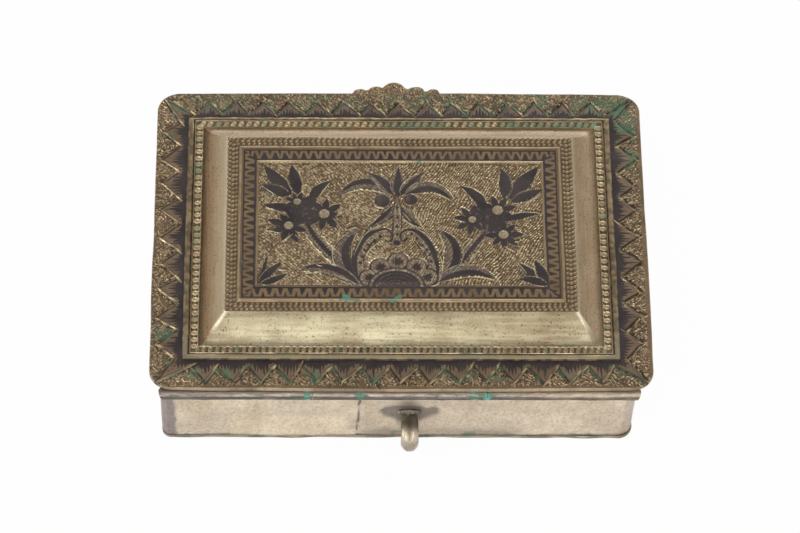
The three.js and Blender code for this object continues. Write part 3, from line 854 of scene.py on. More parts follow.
@dataclass(frozen=True)
class PanelMotif:
    """Palm, flowers, volutes and rosette of the panel, as they were drawn."""

    leaves: tuple[Leaf, ...] = (
        Leaf((-21.0, 6.6), (-23.6, 9.9), (-26.2, 13.6), 1.45),
        Leaf((-19.6, 6.8), (-20.3, 10.4), (-20.9, 13.8), 1.2, LeafKind.DARK, Lit.RIGHT),
        Leaf((-21.3, 6.6), (-24.1, 7.7), (-26.8, 9.0), 1.2),
        Leaf((-20.3, 3.2), (-23.0, 3.7), (-26.3, 4.3), 1.0),
        Leaf((-17.0, 5.0), (-16.0, 7.7), (-13.3, 10.0), 0.91, LeafKind.DARK, Lit.BOTH),
        Leaf((-27.0, -14.0), (-26.0, -10.9), (-25.4, -7.1), 0.68, LeafKind.VEINED),
        Leaf((-26.9, -14.0), (-24.7, -11.2), (-22.6, -9.0), 0.74),
        Leaf((-26.6, -14.2), (-23.9, -13.0), (-21.3, -11.6), 0.62, LeafKind.DARK, Lit.RIGHT),
        Leaf((-1.7, 6.9), (-7.0, 9.3), (-11.9, 6.3), 1.3, LeafKind.BLADE, Lit.LEFT),
        Leaf((-1.2, 6.5), (-3.4, 9.8), (-6.6, 12.0), 1.2, LeafKind.VEINED, Lit.RIGHT),
        Leaf((-0.5, 6.2), (-0.4, 9.9), (-0.3, 13.7), 1.26, LeafKind.VEINED),
        Leaf((0.1, 6.6), (2.1, 9.4), (4.8, 12.3), 0.97, LeafKind.VEINED, Lit.BOTH),
        Leaf((0.9, 6.7), (6.1, 8.5), (10.5, 4.8), 1.25, LeafKind.BLADE, Lit.BOTH),
        Leaf((-1.4, 4.1), (-3.2, 1.2), (-6.7, -1.3), 0.9, LeafKind.BLADE, Lit.RIGHT),
        Leaf((0.1, 4.1), (1.7, 1.3), (4.3, -1.2), 0.9, LeafKind.BLADE, Lit.RIGHT),
        Leaf((-8.7, -13.1), (-11.2, -6.7), (-7.8, -1.4), 1.6, LeafKind.BLADE, Lit.BOTH),
        Leaf((7.9, -12.2), (10.0, -6.2), (6.7, -1.2), 1.6, LeafKind.BLADE, Lit.BOTH),
        Leaf((-8.1, -14.3), (-14.1, -10.7), (-19.8, -11.2), 1.35, LeafKind.BLADE, Lit.LEFT),
        Leaf((7.1, -13.4), (12.9, -10.9), (18.6, -13.5), 1.3, LeafKind.BLADE, Lit.BOTH),
        Leaf((21.0, 5.7), (23.5, 9.3), (26.7, 13.5), 1.54, LeafKind.DARK, Lit.LEFT),
        Leaf((19.9, 6.0), (20.2, 9.6), (19.5, 13.1), 1.2, LeafKind.DARK, Lit.LEFT),
        Leaf((21.4, 5.0), (24.3, 6.6), (27.3, 8.1), 1.03, LeafKind.DARK, Lit.RIGHT),
        Leaf((19.6, 0.6), (22.9, 1.8), (26.7, 2.3), 0.74, LeafKind.DARK, Lit.LEFT),
        Leaf((15.7, 2.6), (14.8, 6.2), (11.5, 8.8), 1.08, LeafKind.DARK, Lit.BOTH),
        Leaf((27.6, -14.3), (25.0, -11.9), (22.1, -9.0), 1.08, LeafKind.DARK, Lit.RIGHT),
        Leaf((27.7, -14.1), (26.6, -11.4), (25.4, -8.4), 0.97, LeafKind.DARK, Lit.LEFT),
        Leaf((27.6, -14.4), (25.0, -13.2), (22.1, -12.9), 0.85),
    )
    flowers: tuple[StarFlower, ...] = (
        StarFlower((-19.8, 4.9), 2.6, 0.72),
        StarFlower((-14.6, 2.1), 4.1, 1.02),
        StarFlower((-21.4, -0.7), 4.0, 0.88),
        StarFlower((18.6, 3.0), 3.5, 1.05),
        StarFlower((13.7, 0.8), 3.4, 0.74),
        StarFlower((19.6, -2.7), 3.6, 0.95),
    )
    thickets: tuple[tuple[Point, float], ...] = (
        ((-18.9, 3.9), 2.1), ((-17.9, 1.7), 2.1), ((-20.6, 1.9), 1.7), ((-17.2, 5.0), 1.2),
        ((16.3, 1.9), 2.1), ((17.0, -0.4), 2.0), ((19.2, 0.2), 1.8), ((15.6, 3.2), 1.2),
    )
    # Graver lines, each with a painted highlight along one flank.
    bright_lines: tuple[tuple[Point, ...], ...] = (
        ((-26.8, 9.0), (-23.7, 6.4)),
        ((-23.4, 6.1), (-23.8, 5.1)),
        ((-26.1, 3.6), (-24.0, 2.9), (-22.0, 1.7)),
        ((-14.3, 0.0), (-13.5, -0.8), (-12.3, -1.1)),
        ((-12.6, 1.5), (-11.8, 1.8), (-10.7, 2.9)),
        ((-20.2, -2.7), (-19.3, -3.6), (-18.2, -3.9)),
        ((-25.8, -1.6), (-23.0, -2.3)),
        ((-11.9, 2.4), (-12.4, 0.9), (-11.8, -1.3), (-12.2, -3.8)),
        ((-18.5, -11.8), (-14.5, -11.5), (-10.9, -12.9), (-8.1, -14.3)),
        ((-16.1, -9.6), (-15.0, -10.0)),
        ((-23.2, -10.9), (-21.6, -11.1)),
        ((-18.9, 8.6), (-18.2, 9.0), (-17.4, 8.4)),
        ((-10.5, -1.6), (-8.9, -0.8), (-7.9, -1.3)),
        ((-5.5, 5.5), (-4.8, 3.9), (-3.0, 3.3)),
        ((-6.7, -8.2), (-6.2, -6.7), (-5.2, -5.4), (-3.8, -4.4)),
        ((-9.0, -7.4), (-7.9, -4.4), (-6.5, -2.0), (-4.6, -0.7), (-2.7, 0.0)),
        ((0.4, 2.5), (2.0, 0.2)),
        ((13.5, 8.7), (15.7, 6.9)),
        ((22.7, 2.8), (25.9, 2.9), (27.0, 2.0), (26.7, 0.8)),
        ((23.2, 3.8), (27.1, 6.9)),
        ((19.6, -5.4), (21.6, -6.6)),
        ((21.6, -4.4), (23.3, -3.5)),
        ((10.5, 0.8), (12.3, 0.1)),
        ((10.2, 3.9), (11.6, 2.4)),
        ((2.3, 3.2), (3.7, 4.6)),
        ((2.1, 3.2), (4.0, -0.4)),
        ((2.3, -3.4), (3.5, -5.2), (4.8, -6.8)),
        ((3.7, -1.2), (5.7, -3.4), (7.2, -5.9), (7.9, -9.2), (7.9, -11.6)),
        ((22.0, -9.0), (23.7, -11.6)),
        ((25.6, -8.2), (27.6, -10.7)),
        ((23.4, -5.0), (22.0, -7.4)),
        ((-22.6, -4.6), (-20.6, -2.7)),
    )
    balls: tuple[tuple[Point, float], ...] = (((-3.5, 5.2), 1.6), ((2.0, 5.5), 1.35))
    trunk: tuple[Point, ...] = ((-0.7, 6.0), (-0.6, 3.0), (-0.65, -1.0), (-0.75, -4.4))
    trunk_dots: tuple[Point, ...] = ((-0.6, 3.6), (-0.6, 1.3), (-0.7, -0.8), (-0.7, -2.7))
    left_volute: Band = Band(
        (
            (-8.2, -13.1), (-8.9, -8.9), (-8.2, -6.0), (-6.7, -3.3), (-4.6, -1.8),
            (-2.6, -1.4), (-1.7, -2.5), (-1.7, -3.6), (-2.3, -4.3), (-2.9, -3.9),
        ),
        1.75,
        ((-3.9, -3.1), (-5.0, -4.1), (-6.2, -5.1), (-6.9, -6.3), (-7.4, -7.9), (-7.7, -9.2)),
    )
    right_volute: Band = Band(
        (
            (7.0, -11.9), (6.8, -9.4), (6.1, -6.4), (4.9, -3.9), (3.1, -2.0),
            (1.4, -1.5), (0.3, -2.1), (-0.1, -3.3), (0.5, -4.2), (1.2, -3.4),
        ),
        1.6,
        ((2.1, -2.5), (3.1, -3.6), (4.1, -5.2), (4.9, -6.2), (5.5, -7.4), (5.7, -8.9)),
    )
    stems: tuple[tuple[tuple[Point, ...], float], ...] = (
        (((-18.4, 1.0), (-16.3, -3.4), (-13.8, -6.8), (-11.2, -9.8), (-8.6, -13.6)), 1.25),
        (((16.4, -1.8), (13.4, -6.1), (11.2, -9.2), (7.9, -12.7)), 1.1),
    )
    petals: tuple[Point, ...] = (
        (-6.0, -12.7), (-3.9, -10.2), (-0.6, -8.9), (2.9, -10.2), (5.0, -12.5),
    )
    petal_radius: float = 1.95
    dome_centre: Point = (-0.9, -14.72)
    dome_radius: float = 4.35

    def cut_into(self, relief: Relief) -> None:
        """Work the whole motif into a surface.

        Args:
            relief: The panel's surface.
        """
        for line, width in self.stems:
            self.stem(relief, line, width)
        for k, leaf in enumerate(self.leaves):
            leaf.cut_into(relief, 11 + k)
        for centre, radius in self.thickets:
            self.thicket(relief, centre, radius)
        self.palm_trunk(relief)
        self.left_volute.cut_into(relief, False)
        self.right_volute.cut_into(relief, True)
        self.rosette(relief)
        for k, flower in enumerate(self.flowers):
            flower.cut_into(relief, 71 + k)
        for centre, radius in self.balls:
            self.ball(relief, centre, radius)
        for k, line in enumerate(self.bright_lines):
            relief.groove(smooth_line(line), 0.2, 0.13, 1.0, k % 3 != 0)

    def stem(self, relief: Relief, line: tuple[Point, ...], width: float) -> None:
        """Work a stem: flat metal with a saw-edged dark heart between two cut lines with painted highlights.
        """
        path = smooth_line(line)
        where, t, s = relief.along(path, width + 0.5)
        if len(where):
            band = fall(np.abs(s), width - 0.1, width + 0.1)
            relief.flat(where, band, 0.02)
            length = sum(math.dist(a, b) for a, b in zip(path, path[1:]))
            saw = (t * length / 0.75 + 0.8 * s / width) % 1
            reach = width * (0.22 + 0.34 * saw) * (0.75 + 0.5 * t)
            dark = fall(np.abs(s), reach, reach + 0.12) * step(t, 0.03, 0.08)
            relief.inlay(where, dark)
        for side in (1, -1):
            edge = [
                (x - side * (by - ay) / d * width, y + side * (bx - ax) / d * width)
                for (x, y), (ax, ay), (bx, by) in zip(path[1:], path, path[2:])
                for d in [math.hypot(bx - ax, by - ay)]
            ]
            relief.groove(edge[2:], 0.2, 0.13, 1.0, side > 0)

    def thicket(self, relief: Relief, centre: Point, radius: float) -> None:
        """Fill the gap between flowers with ragged niello and a few bare flecks."""
        spot = relief.near([centre], 1.2 * radius)
        x, y = relief.x[spot], relief.y[spot]
        distance = np.hypot(x - centre[0], y - centre[1]) + waver(x, y, 0.8, 301, 1.1)
        share = fall(distance, 0.9 * radius, 0.9 * radius + 0.12)
        relief.flat(spot, share, 0.0)
        relief.lay(relief.cut, spot, share, 0.0)
        flecks = step(clouds(x, y, 0.55, 302), 0.6, 0.72)
        relief.inlay(spot, share * (1 - 0.5 * flecks))

    def palm_trunk(self, relief: Relief) -> None:
        """Work the palm's trunk: a metal band with dark dots and a dark foot."""
        where, t, s = relief.along(self.trunk, 1.4)
        width = 0.3 + 0.5 * step(t, 0.0, 0.35) - 0.12 * step(t, 0.8, 1.0)
        band = fall(np.abs(s), width, width + 0.12)
        relief.flat(where, band, 0.05)
        relief.bare(where, band)
        rim = fall(np.abs(np.abs(s) - width), 0.05, 0.14) * fall(t, 0.85, 0.9)
        relief.inlay(where, rim)
        for dot in self.trunk_dots:
            spot = relief.near([dot], 0.6)
            distance = np.hypot(relief.x[spot] - dot[0], (relief.y[spot] - dot[1]) * 0.6)
            relief.inlay(spot, fall(distance, 0.2, 0.34))
        foot = (self.trunk[-1][0], self.trunk[-1][1] - 0.2)
        spot = relief.near([foot], 1.2)
        distance = np.hypot((relief.x[spot] - foot[0]) * 0.85, relief.y[spot] - foot[1])
        relief.flat(spot, fall(distance, 0.7, 0.85))
        relief.inlay(spot, fall(distance, 0.55, 0.72))

    def ball(self, relief: Relief, centre: Point, radius: float) -> None:
        """Work a palm fruit: a dark ball with fine bright hatching on its left."""
        spot = relief.near([centre], radius + 0.5)
        x = relief.x[spot] - centre[0]
        y = relief.y[spot] - centre[1]
        distance = np.hypot(x, y)
        relief.flat(spot, fall(distance, radius, radius + 0.15), 0.05)
        relief.inlay(spot, fall(distance, radius - 0.18, radius))
        hatch = step(swing((x + 0.6 * y) / 0.34), 0.55, 0.8)
        hatch = hatch * fall(x, -0.5, 0.1) * fall(distance, radius - 0.5, radius - 0.3)
        relief.bare(spot, 0.75 * hatch)
        relief.height[spot] += 0.12 * np.sqrt(np.clip(1 - (distance / radius) ** 2, 0, 1))

    def rosette(self, relief: Relief) -> None:
        """Work the half rosette that stands on the border: a scalloped shell round a dark dome."""
        cx, cy = self.dome_centre
        spot = relief.near([self.dome_centre], 9.0)
        x, y = relief.x[spot] - cx, relief.y[spot] - cy
        above = step(y, 0.0, 0.12)
        lobes = [np.hypot(relief.x[spot] - px, relief.y[spot] - py) for px, py in self.petals]
        shell = np.min(lobes, axis=0) - self.petal_radius
        field_share = fall(shell, 0.0, 0.1) * above
        relief.flat(spot, field_share, 0.02)
        relief.bare(spot, field_share)
        rays = swing(np.arctan2(y, x) * 9.5)
        tuft = fall(shell + 0.8 + 0.55 * (1 - rays), -0.06, 0.08) * field_share
        outline = fall(np.abs(shell), 0.12, 0.24) * above
        relief.inlay(spot, np.maximum(tuft, outline))
        # A broken ring of painted highlight runs just outside the shell.
        halo = fall(np.abs(shell - 0.42), 0.1, 0.22) * above
        relief.lay(relief.cut, spot, 0.7 * halo * step(clouds(x, y, 1.0, 303), 0.3, 0.5))
        arch = np.hypot(x / 1.24, y)
        dome = fall(arch, self.dome_radius, self.dome_radius + 0.12) * above
        relief.flat(spot, dome, 0.02)
        relief.inlay(spot, dome)
        ring = fall(np.abs(arch - self.dome_radius + 0.45), 0.16, 0.28) * above
        relief.bare(spot, ring)
        inner = fall(arch, self.dome_radius - 1.0, self.dome_radius - 0.9) * above
        dots = np.abs((np.arctan2(y, x) * 11 % 1) - 0.5) * np.abs((arch / 0.75 % 1) - 0.5)
        dashes = step(swing((x + 0.8 * y) / 0.6), 0.5, 0.8) * fall(y, 0.9, 1.2)
        relief.bare(spot, (0.5 * step(dots, 0.13, 0.2) + 0.5 * dashes) * inner)


# Lid


def ring(half: Point, inward: float, level: float, radius: float = 0.0) -> tuple[float, ...]:
    """A rectangular ring some way inside half sizes, as ring_sheet takes it."""
    return (half[0] - inward, half[1] - inward, level, radius)


def bloom(relief: Relief, patches: Sequence[tuple[float, ...]], seed: int) -> None:
    """Let verdigris grow on a surface in ragged patches.

    Args:
        relief: The surface.
        patches: Place along X and Y, reach in millimetres and strength of each.
        seed: Number that fixes its edges.
    """
    ragged = 0.65 * clouds(relief.x, relief.y, 0.9, seed) + 0.35 * clouds(relief.x, relief.y, 0.35, seed + 1)
    for px, py, reach, strength in patches:
        distance = np.hypot(relief.x - px, relief.y - py) / reach
        share = step(ragged + 0.55 * (1 - distance), 0.72, 0.86) * fall(distance, 0.9, 1.2)
        relief.verdigris = np.maximum(relief.verdigris, share * strength)


def punch_ground(
    relief: Relief,
    zone: Array,
    x: Array,
    y: Array,
    lean: float | Array,
    seed: int,
    pitch: float = 0.5,
    loose: float = 0.3,
) -> None:
    """Punch a ground with rows of short strokes, with a painted highlight on one side of each row, painted
    shade on the other and darker dents.

    Args:
        relief: The surface.
        zone: Share of the ground at each point.
        x: Places along the first direction that the rows are measured in.
        y: Places along the second.
        lean: Direction of the rows, in radians.
        seed: Number that fixes the strokes.
        pitch: Distance between rows.
        loose: How far a row strays on its way.
    """
    wander = 1.3 * clouds(x, y, 4.0, seed) + loose * clouds(x, y, 0.8, seed + 3)
    phase = ((x * np.cos(lean) + y * np.sin(lean) + wander) / pitch) % 1
    dents = dimples(x, y, 0.44, seed + 1)
    blot = clouds(x, y, 0.36, seed + 2)
    ridge = np.sin(np.pi * phase)
    relief.height += zone * (0.1 * ridge * (0.4 + blot) + 0.1 * np.minimum(dents, 0.75) - 0.11)
    # Each row gets a painted highlight on one side and painted shade on the other, and the ground is darker
    # in the dents.
    lit = step(phase, 0.08, 0.3) * fall(phase, 0.42, 0.62) * step(blot + 0.35 * dents, 0.58, 0.8)
    dark = step(phase, 0.62, 0.8) * fall(blot, 0.4, 0.62)
    low = fall(dents, 0.1, 0.26)
    relief.lay(relief.cut, ALL, 0.9 * lit * zone**3)
    relief.lay(relief.grime, ALL, np.clip(0.9 * dark + 1.0 * low, 0, 0.95) * zone)


@dataclass(frozen=True)
class RimSide:
    """One side of the rim and how its zigzag was cut."""

    name: str
    along: tuple[int, int]
    seed: int
    teeth: int  # points of the zigzag on the inside
    inset: float  # distance from the fillet's corner to the first of them, in millimetres
    inner: Point  # least and most distance of the inner points from the fillet
    outer: Point  # least and most distance of the outer points
    margin: float  # where the plain margin begins
    rising: float  # strength of the painted highlight on the cuts that lead outwards
    falling: float  # strength of the painted highlight on the cuts that lead inwards
    green: float  # strength of the verdigris in the cuts
    tint: float  # strength of the violet between the flames


RIM_SIDES = (
    RimSide("near", (1, 0), 101, 16, 1.3, (1.3, 1.9), (4.9, 5.5), 5.6, 0.4, 0.8, 0.62, 0.12),
    RimSide("right", (0, 1), 102, 10, 0.6, (0.9, 1.6), (4.4, 5.2), 5.2, 0.7, 0.65, 0.3, 0.15),
    RimSide("far", (-1, 0), 103, 16, 1.0, (0.6, 1.1), (3.7, 4.4), 5.9, 0.75, 0.1, 0.66, 0.35),
    RimSide("left", (0, -1), 104, 10, 0.6, (1.0, 1.7), (4.8, 5.6), 6.1, 0.2, 1.1, 0.3, 0.15),
)


@dataclass
class Lid:
    """The hinged lid: flat rim, applied frames, cove and the chased plateau.

    Half sizes along X and Y are in millimetres, and so is the rest.
    """

    rim_finish: Finish
    panel_finish: Finish
    cove_finish: Finish
    frame_finish: Finish
    edge: Point = (47.45, 34.55)
    corner_radius: float = 4.5
    centre_y: float = 0.25
    fillet: Point = (41.2, 28.3)
    fillet_width: float = 1.2
    fillet_height: float = 0.5
    bead: Point = (39.9, 27.0)
    bead_width: float = 1.7
    bead_pitch: float = 1.5
    bead_pitch_near: float = 1.25  # on the hinge's side
    cove_foot: Point = (38.1, 25.2)
    plateau: Point = (33.4, 20.5)
    border: Point = (30.3, 17.4)
    border_width: float = 2.7
    seat: float = 18.8  # height of the lid's underside at the rim
    rim_top: float = 19.6
    plateau_top: float = 24.25
    thickness: float = 0.8
    step_mm: float = 0.115  # distance between points of the relief
    far_spread: float = 0.6  # how much further out the frames sit on the thumb-piece's side
    motif: PanelMotif = field(default_factory=PanelMotif)

    # Plateau

    def plateau_relief(self, x: Array, y: Array) -> Relief:
        """Draw the plateau: rows of beading, a line, the niello border and the panel.

        Args:
            x: Places in millimetres from the lid's middle.
            y: Places along the other direction.

        Returns:
            The surface.
        """
        relief = Relief(x, y)
        wave = waver(x, y, 9.0, 3, 0.16) + waver(x, y, 2.5, 4, 0.08)
        on_side = (self.plateau[0] - np.abs(x)) < (self.plateau[1] - np.abs(y))
        length = np.where(on_side, y, x)
        inward = np.where(on_side, self.plateau[0] - np.abs(x), self.plateau[1] - np.abs(y)) + wave * 0.5
        self.beading(relief, inward, length)
        into_border = inward - (self.plateau[0] - self.border[0])
        self.niello_border(relief, into_border, length, on_side)
        panel = (self.border[0] - self.border_width, self.border[1] - self.border_width)
        into_panel = np.minimum(panel[0] - np.abs(x), panel[1] - np.abs(y))
        ground = step(into_panel, 0.28, 0.5)
        relief.lay(relief.height, ALL, ground, -0.16)
        relief.lay(relief.punched, ALL, ground)
        line = step(into_panel, -0.02, 0.1) * fall(into_panel, 0.26, 0.42)
        relief.height += 0.12 * line
        # The raised line round the panel gets a painted highlight, strongest on the far side, and painted
        # shade, strongest on the near side.
        far = (y > 0) & (np.abs(y) - panel[1] > np.abs(x) - panel[0])
        near = (y < 0) & (np.abs(y) - panel[1] > np.abs(x) - panel[0])
        wear_and_highlight = np.where(far, 0.5, np.where(near, 0.04, 0.16)) * (0.4 + 0.9 * clouds(x, y, 4.0, 8))
        relief.lay(relief.cut, ALL, wear_and_highlight * line)
        relief.lay(relief.grime, ALL, np.where(near, 0.7, np.where(far, 0.0, 0.25)) * line)
        punch_ground(relief, ground, x, y, np.where(x < -2.0, 0.75, -0.55), 5)
        self.motif.cut_into(relief)
        relief.height += wave * 0.35
        bloom(
            relief,
            (
                (-27.2, 13.9, 0.9, 0.5), (-27.5, 5.0, 0.7, 0.4), (3.6, 14.6, 0.7, 0.6),
                (2.6, 13.9, 0.6, 0.8), (16.5, 14.6, 0.7, 0.4), (-10.3, -17.4, 1.6, 0.8),
                (-8.2, -17.6, 1.4, 0.7), (-5.8, -17.2, 0.9, 0.6), (-1.4, -17.9, 1.2, 0.82),
                (-0.6, -17.0, 0.8, 0.8), (-24.0, -17.6, 0.8, 0.4), (-30.6, -9.0, 1.0, 0.5),
                (-31.6, -16.4, 1.2, 0.5), (24.0, -3.0, 0.6, 0.5), (27.4, 1.0, 1.0, 0.4),
                (9.4, 1.0, 0.6, 0.5), (27.4, 7.5, 0.8, 0.4), (-30.7, 17.7, 0.9, 0.4),
                (30.8, -14.0, 1.0, 0.4), (31.5, 4.0, 1.0, 0.4), (-27.4, -3.0, 0.9, 0.4),
            ),
            20,
        )
        return relief

    def beading(self, relief: Relief, inward: Array, length: Array) -> None:
        """Draw three rows of fine beads and the raised line inside them."""
        # The rows are darker between the beads and in the gap beside the raised line; the bead tops and the
        # raised line get painted highlights.
        zone = step(inward, 0.1, 0.2) * fall(inward, 2.25, 2.35)
        relief.lay(relief.grime, ALL, 0.58 * zone)
        relief.height -= 0.12 * zone
        beads = np.zeros(length.shape)
        drift = waver(relief.x, relief.y, 2.2, 31, 0.25)
        pitch = 1.04
        for row, offset in ((0.5, 0.0), (1.2, 0.25), (1.88, 0.1)):
            place = ((length + offset + drift) / pitch + 0.5) % 1 - 0.5
            distance = (np.abs(place * pitch) ** 3 + np.abs(inward - row + 0.3 * drift) ** 3) ** (1 / 3)
            size = 0.37 if row < 1.8 else 0.3
            dome = np.sqrt(np.clip(1 - (distance / size) ** 2, 0, 1))
            beads = np.maximum(beads, dome)
        wear_and_highlight = np.clip(0.35 + 0.9 * clouds(relief.x, relief.y, 1.1, 30), 0, 1.1)
        relief.height += 0.22 * beads * wear_and_highlight
        relief.lay(relief.grime, ALL, step(beads, 0.15, 0.5), 0.12)
        relief.lay(relief.cut, ALL, 0.24 * step(beads, 0.6, 0.95) * wear_and_highlight)
        ridge = np.clip(1 - np.abs(inward - 2.62) / 0.3, 0, 1)
        relief.height += 0.2 * np.sqrt(ridge)
        relief.lay(relief.cut, ALL, 0.28 * step(ridge, 0.2, 0.6) * wear_and_highlight)
        gap = fall(np.abs(inward - 2.98), 0.06, 0.14)
        relief.lay(relief.grime, ALL, 0.6 * gap)

    def niello_border(self, relief: Relief, into: Array, length: Array, on_side: Array) -> None:
        """Draw the border: two combs of niello that leave a metal meander between them."""
        x, y = relief.x, relief.y
        zone = step(into, 0.0, 0.08) * fall(into, 2.62, 2.7)
        pitch = np.where(on_side, 1.95, np.where(y > 0, 1.86, 2.08))
        wobble = waver(x, y, 3.0, 40, 0.5)
        phase = (length + wobble) / pitch % 1
        swell = 0.86 + 0.3 * clouds(x, y, 1.7, 41)
        outer = fall(into, 0.34, 0.42)
        inner = step(into, 2.2, 2.28)
        narrow = 0.3 * swell * np.clip(1 - (into - 0.3) / 1.25, 0, 1)
        wide = 0.52 * swell * np.clip((into - 0.62) / 1.6, 0, 1) ** 0.8
        outer_tooth = fall(np.abs(phase - 0.5) * pitch - narrow, -0.04, 0.1)
        inner_tooth = fall((0.5 - np.abs(phase - 0.5)) * pitch - wide, -0.04, 0.1)
        outer_tooth = outer_tooth * fall(into, 1.45, 1.55)
        inner_tooth = inner_tooth * step(into, 0.66, 0.8)
        dark = np.maximum(np.maximum(outer, inner), np.maximum(outer_tooth, inner_tooth))
        corner = np.abs((self.border[0] - np.abs(x)) - (self.border[1] - np.abs(y)))
        mitre = fall(corner, 0.22, 0.34) * np.where((x > 0) & (y < 0), 1.0, 0.35)
        dark = np.maximum(dark, mitre) * zone
        relief.inlay(ALL, dark)
        relief.lay(relief.grime, ALL, 0.12 * zone * (1 - dark))

    def chase_plateau(self) -> None:
        """Build the plateau's chased plate in four quarters."""
        wide, deep = self.plateau
        across = round(wide / self.step_mm)
        along = round(deep / self.step_mm)
        for name, sx, sy in (("ne", 0, 0), ("nw", -1, 0), ("sw", -1, -1), ("se", 0, -1)):
            u, v = grid_points(across, along)
            x = (u + sx) * wide
            y = (v + sy) * deep
            relief = self.plateau_relief(x, y)
            z = self.plateau_top + relief.height
            brink = np.minimum(wide - np.abs(x), deep - np.abs(y))
            z -= 0.12 * np.clip(1 - brink / 0.18, 0, 1) ** 2
            piece = lay_grid(f"plateau_{name}", across, along, x, y + self.centre_y, z)
            close_under(piece, relief.marks(), self.plateau_top - 0.45)
            nodes = [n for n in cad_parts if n.startswith("niello_") and n != "niello_rim"]
            nodes += ["milled_wire_frame", "inner_frame_line", "lid_plate"]
            finish_piece(piece, self.panel_finish, "lid", nodes)

    # Rim

    def rim_relief(self, x: Array, y: Array, s: Array, r: Array, half: float, side: RimSide) -> Relief:
        """Draw one side of the rim: niello flames, zigzag cuts and punched triangles.

        Args:
            x: Places along the box's X, in millimetres.
            y: Places along Y.
            s: Places along the side.
            r: Distances outwards from the fillet.
            half: Half the fillet's length on this side.
            side: How the side was cut.

        Returns:
            The surface, drawn along and across the side.
        """
        relief = Relief(s, r)
        rng = np.random.default_rng(side.seed)
        pitch = 2 * (half - side.inset) / (side.teeth - 1)
        end_past, end_out = 4.4, 4.7  # where the zigzag ends beyond the fillet's corner
        zigzag: list[Point] = [(-half - end_past, end_out)]
        for k in range(side.teeth):
            inner = -half + side.inset + k * pitch
            zigzag.append((inner + rng.uniform(-0.35, 0.35), rng.uniform(*side.inner)))
            if k < side.teeth - 1:
                zigzag.append((inner + pitch / 2 + rng.uniform(-0.5, 0.5), rng.uniform(*side.outer)))
        zigzag.append((half + end_past, end_out))
        line = np.interp(s, [p[0] for p in zigzag], [p[1] for p in zigzag])
        beyond = step(r - line, 0.05, 0.3)
        ground = beyond * (1 - 0.85 * step(r, side.margin, side.margin + 0.4))
        relief.lay(relief.punched, ALL, ground)
        leg = np.where(np.sin(2 * np.pi * (s + half - side.inset) / pitch + np.pi / 2) > 0, 2.44, 0.7)
        punch_ground(relief, 0.92 * ground, s, r, leg, side.seed + 5, 0.56, 1.3)
        relief.lay(relief.grime, ALL, 0.12 * ground)
        # The inlay is combed: streaks of uneven length run out from a solid core.
        solid = np.maximum(0.7, 0.28 * line)
        comb = np.zeros(s.shape)
        for width, salt, least, most in ((0.62, 2, 0.15, 0.9), (0.4, 3, 0.0, 0.65)):
            sway = waver(x, y, 1.6, side.seed + salt, 0.3)
            column = np.floor((s + sway) / width).astype(int)
            reach_of = np.random.default_rng(side.seed + salt).uniform(least, most, 700)
            fringe = solid + (line - 0.3 - solid) * reach_of[(column + 350) % 700]
            within = (s + sway) / width % 1
            taper = 0.46 - 0.36 * np.clip((r - solid) / np.maximum(fringe - solid, 0.2), 0, 1)
            tooth = fall(np.abs(within - 0.5) - taper, -0.05, 0.1)
            comb = np.maximum(comb, tooth * fall(r, fringe - 0.15, fringe + 0.05))
        dark = np.maximum(fall(r, solid - 0.05, solid + 0.1), comb)
        dark = dark * fall(r - line, -0.28, -0.12)
        dark = np.maximum(dark, fall(r, 0.38, 0.52))
        relief.inlay(ALL, dark)
        relief.lay(relief.violet, ALL, side.tint * (1 - beyond) * (1 - dark))
        for k in range(len(zigzag) - 1):
            rising = zigzag[k + 1][1] > zigzag[k][1]
            bright = side.rising if rising else side.falling
            self.cut_leg(relief, rng, zigzag[k], zigzag[k + 1], bright, rising, side.green)
        return relief

    def cut_leg(
        self,
        relief: Relief,
        rng: np.random.Generator,
        start: Point,
        end: Point,
        bright: float,
        lit_left: bool,
        green: float,
    ) -> None:
        """Cut one leg of the zigzag: a dark line, then short strokes of the graver with painted highlights,
        and painted shadow lines beside the leg.

        Args:
            relief: The side's surface.
            rng: The hand's unevenness.
            start: Where the leg begins.
            end: Where it ends.
            bright: How strong the strokes' painted highlights are.
            lit_left: Whether their left flank is the lit one.
            green: Strength of the verdigris that grew in the line.
        """
        length = math.dist(start, end)
        ux, uy = (end[0] - start[0]) / length, (end[1] - start[1]) / length
        relief.groove([start, end], 0.25, 0.22, 0.3 * bright, lit_left)
        at = rng.uniform(-0.3, 0.3)
        while at < length - 0.4:
            reach = rng.uniform(0.8, 2.2)
            off, turn = rng.uniform(-0.12, 0.2), rng.uniform(-0.2, 0.2)
            px, py = start[0] + ux * at - uy * off, start[1] + uy * at + ux * off
            stroke = [(px, py), (px + (ux - uy * turn) * reach, py + (uy + ux * turn) * reach)]
            relief.groove(stroke, rng.uniform(0.2, 0.36), 0.16, bright * rng.uniform(0.5, 1.15), lit_left)
            at += reach + rng.uniform(-0.2, 0.7)
        if rng.random() < 0.5:
            px, py = end[0] - ux * 0.5, end[1] - uy * 0.5
            cross = [(px + uy * 0.6, py - ux * 0.6), (px - uy * 0.7, py + ux * 0.7)]
            relief.groove(cross, 0.16, 0.12, 0.8 * bright, not lit_left)
        where, t, off = relief.along([start, end], 0.6)
        grown = step(clouds(relief.x[where], relief.y[where], 1.5, 75), 0.35, 0.6)
        shadow = fall(np.abs(off - 0.34), 0.06, 0.2) + 0.7 * fall(np.abs(off + 0.34), 0.04, 0.16)
        relief.lay(relief.grime, where, 0.9 * shadow * (t > 0) * (t < 1))
        share = green * grown * fall(np.abs(off), 0.15, 0.5)
        relief.verdigris[where] = np.maximum(relief.verdigris[where], share)

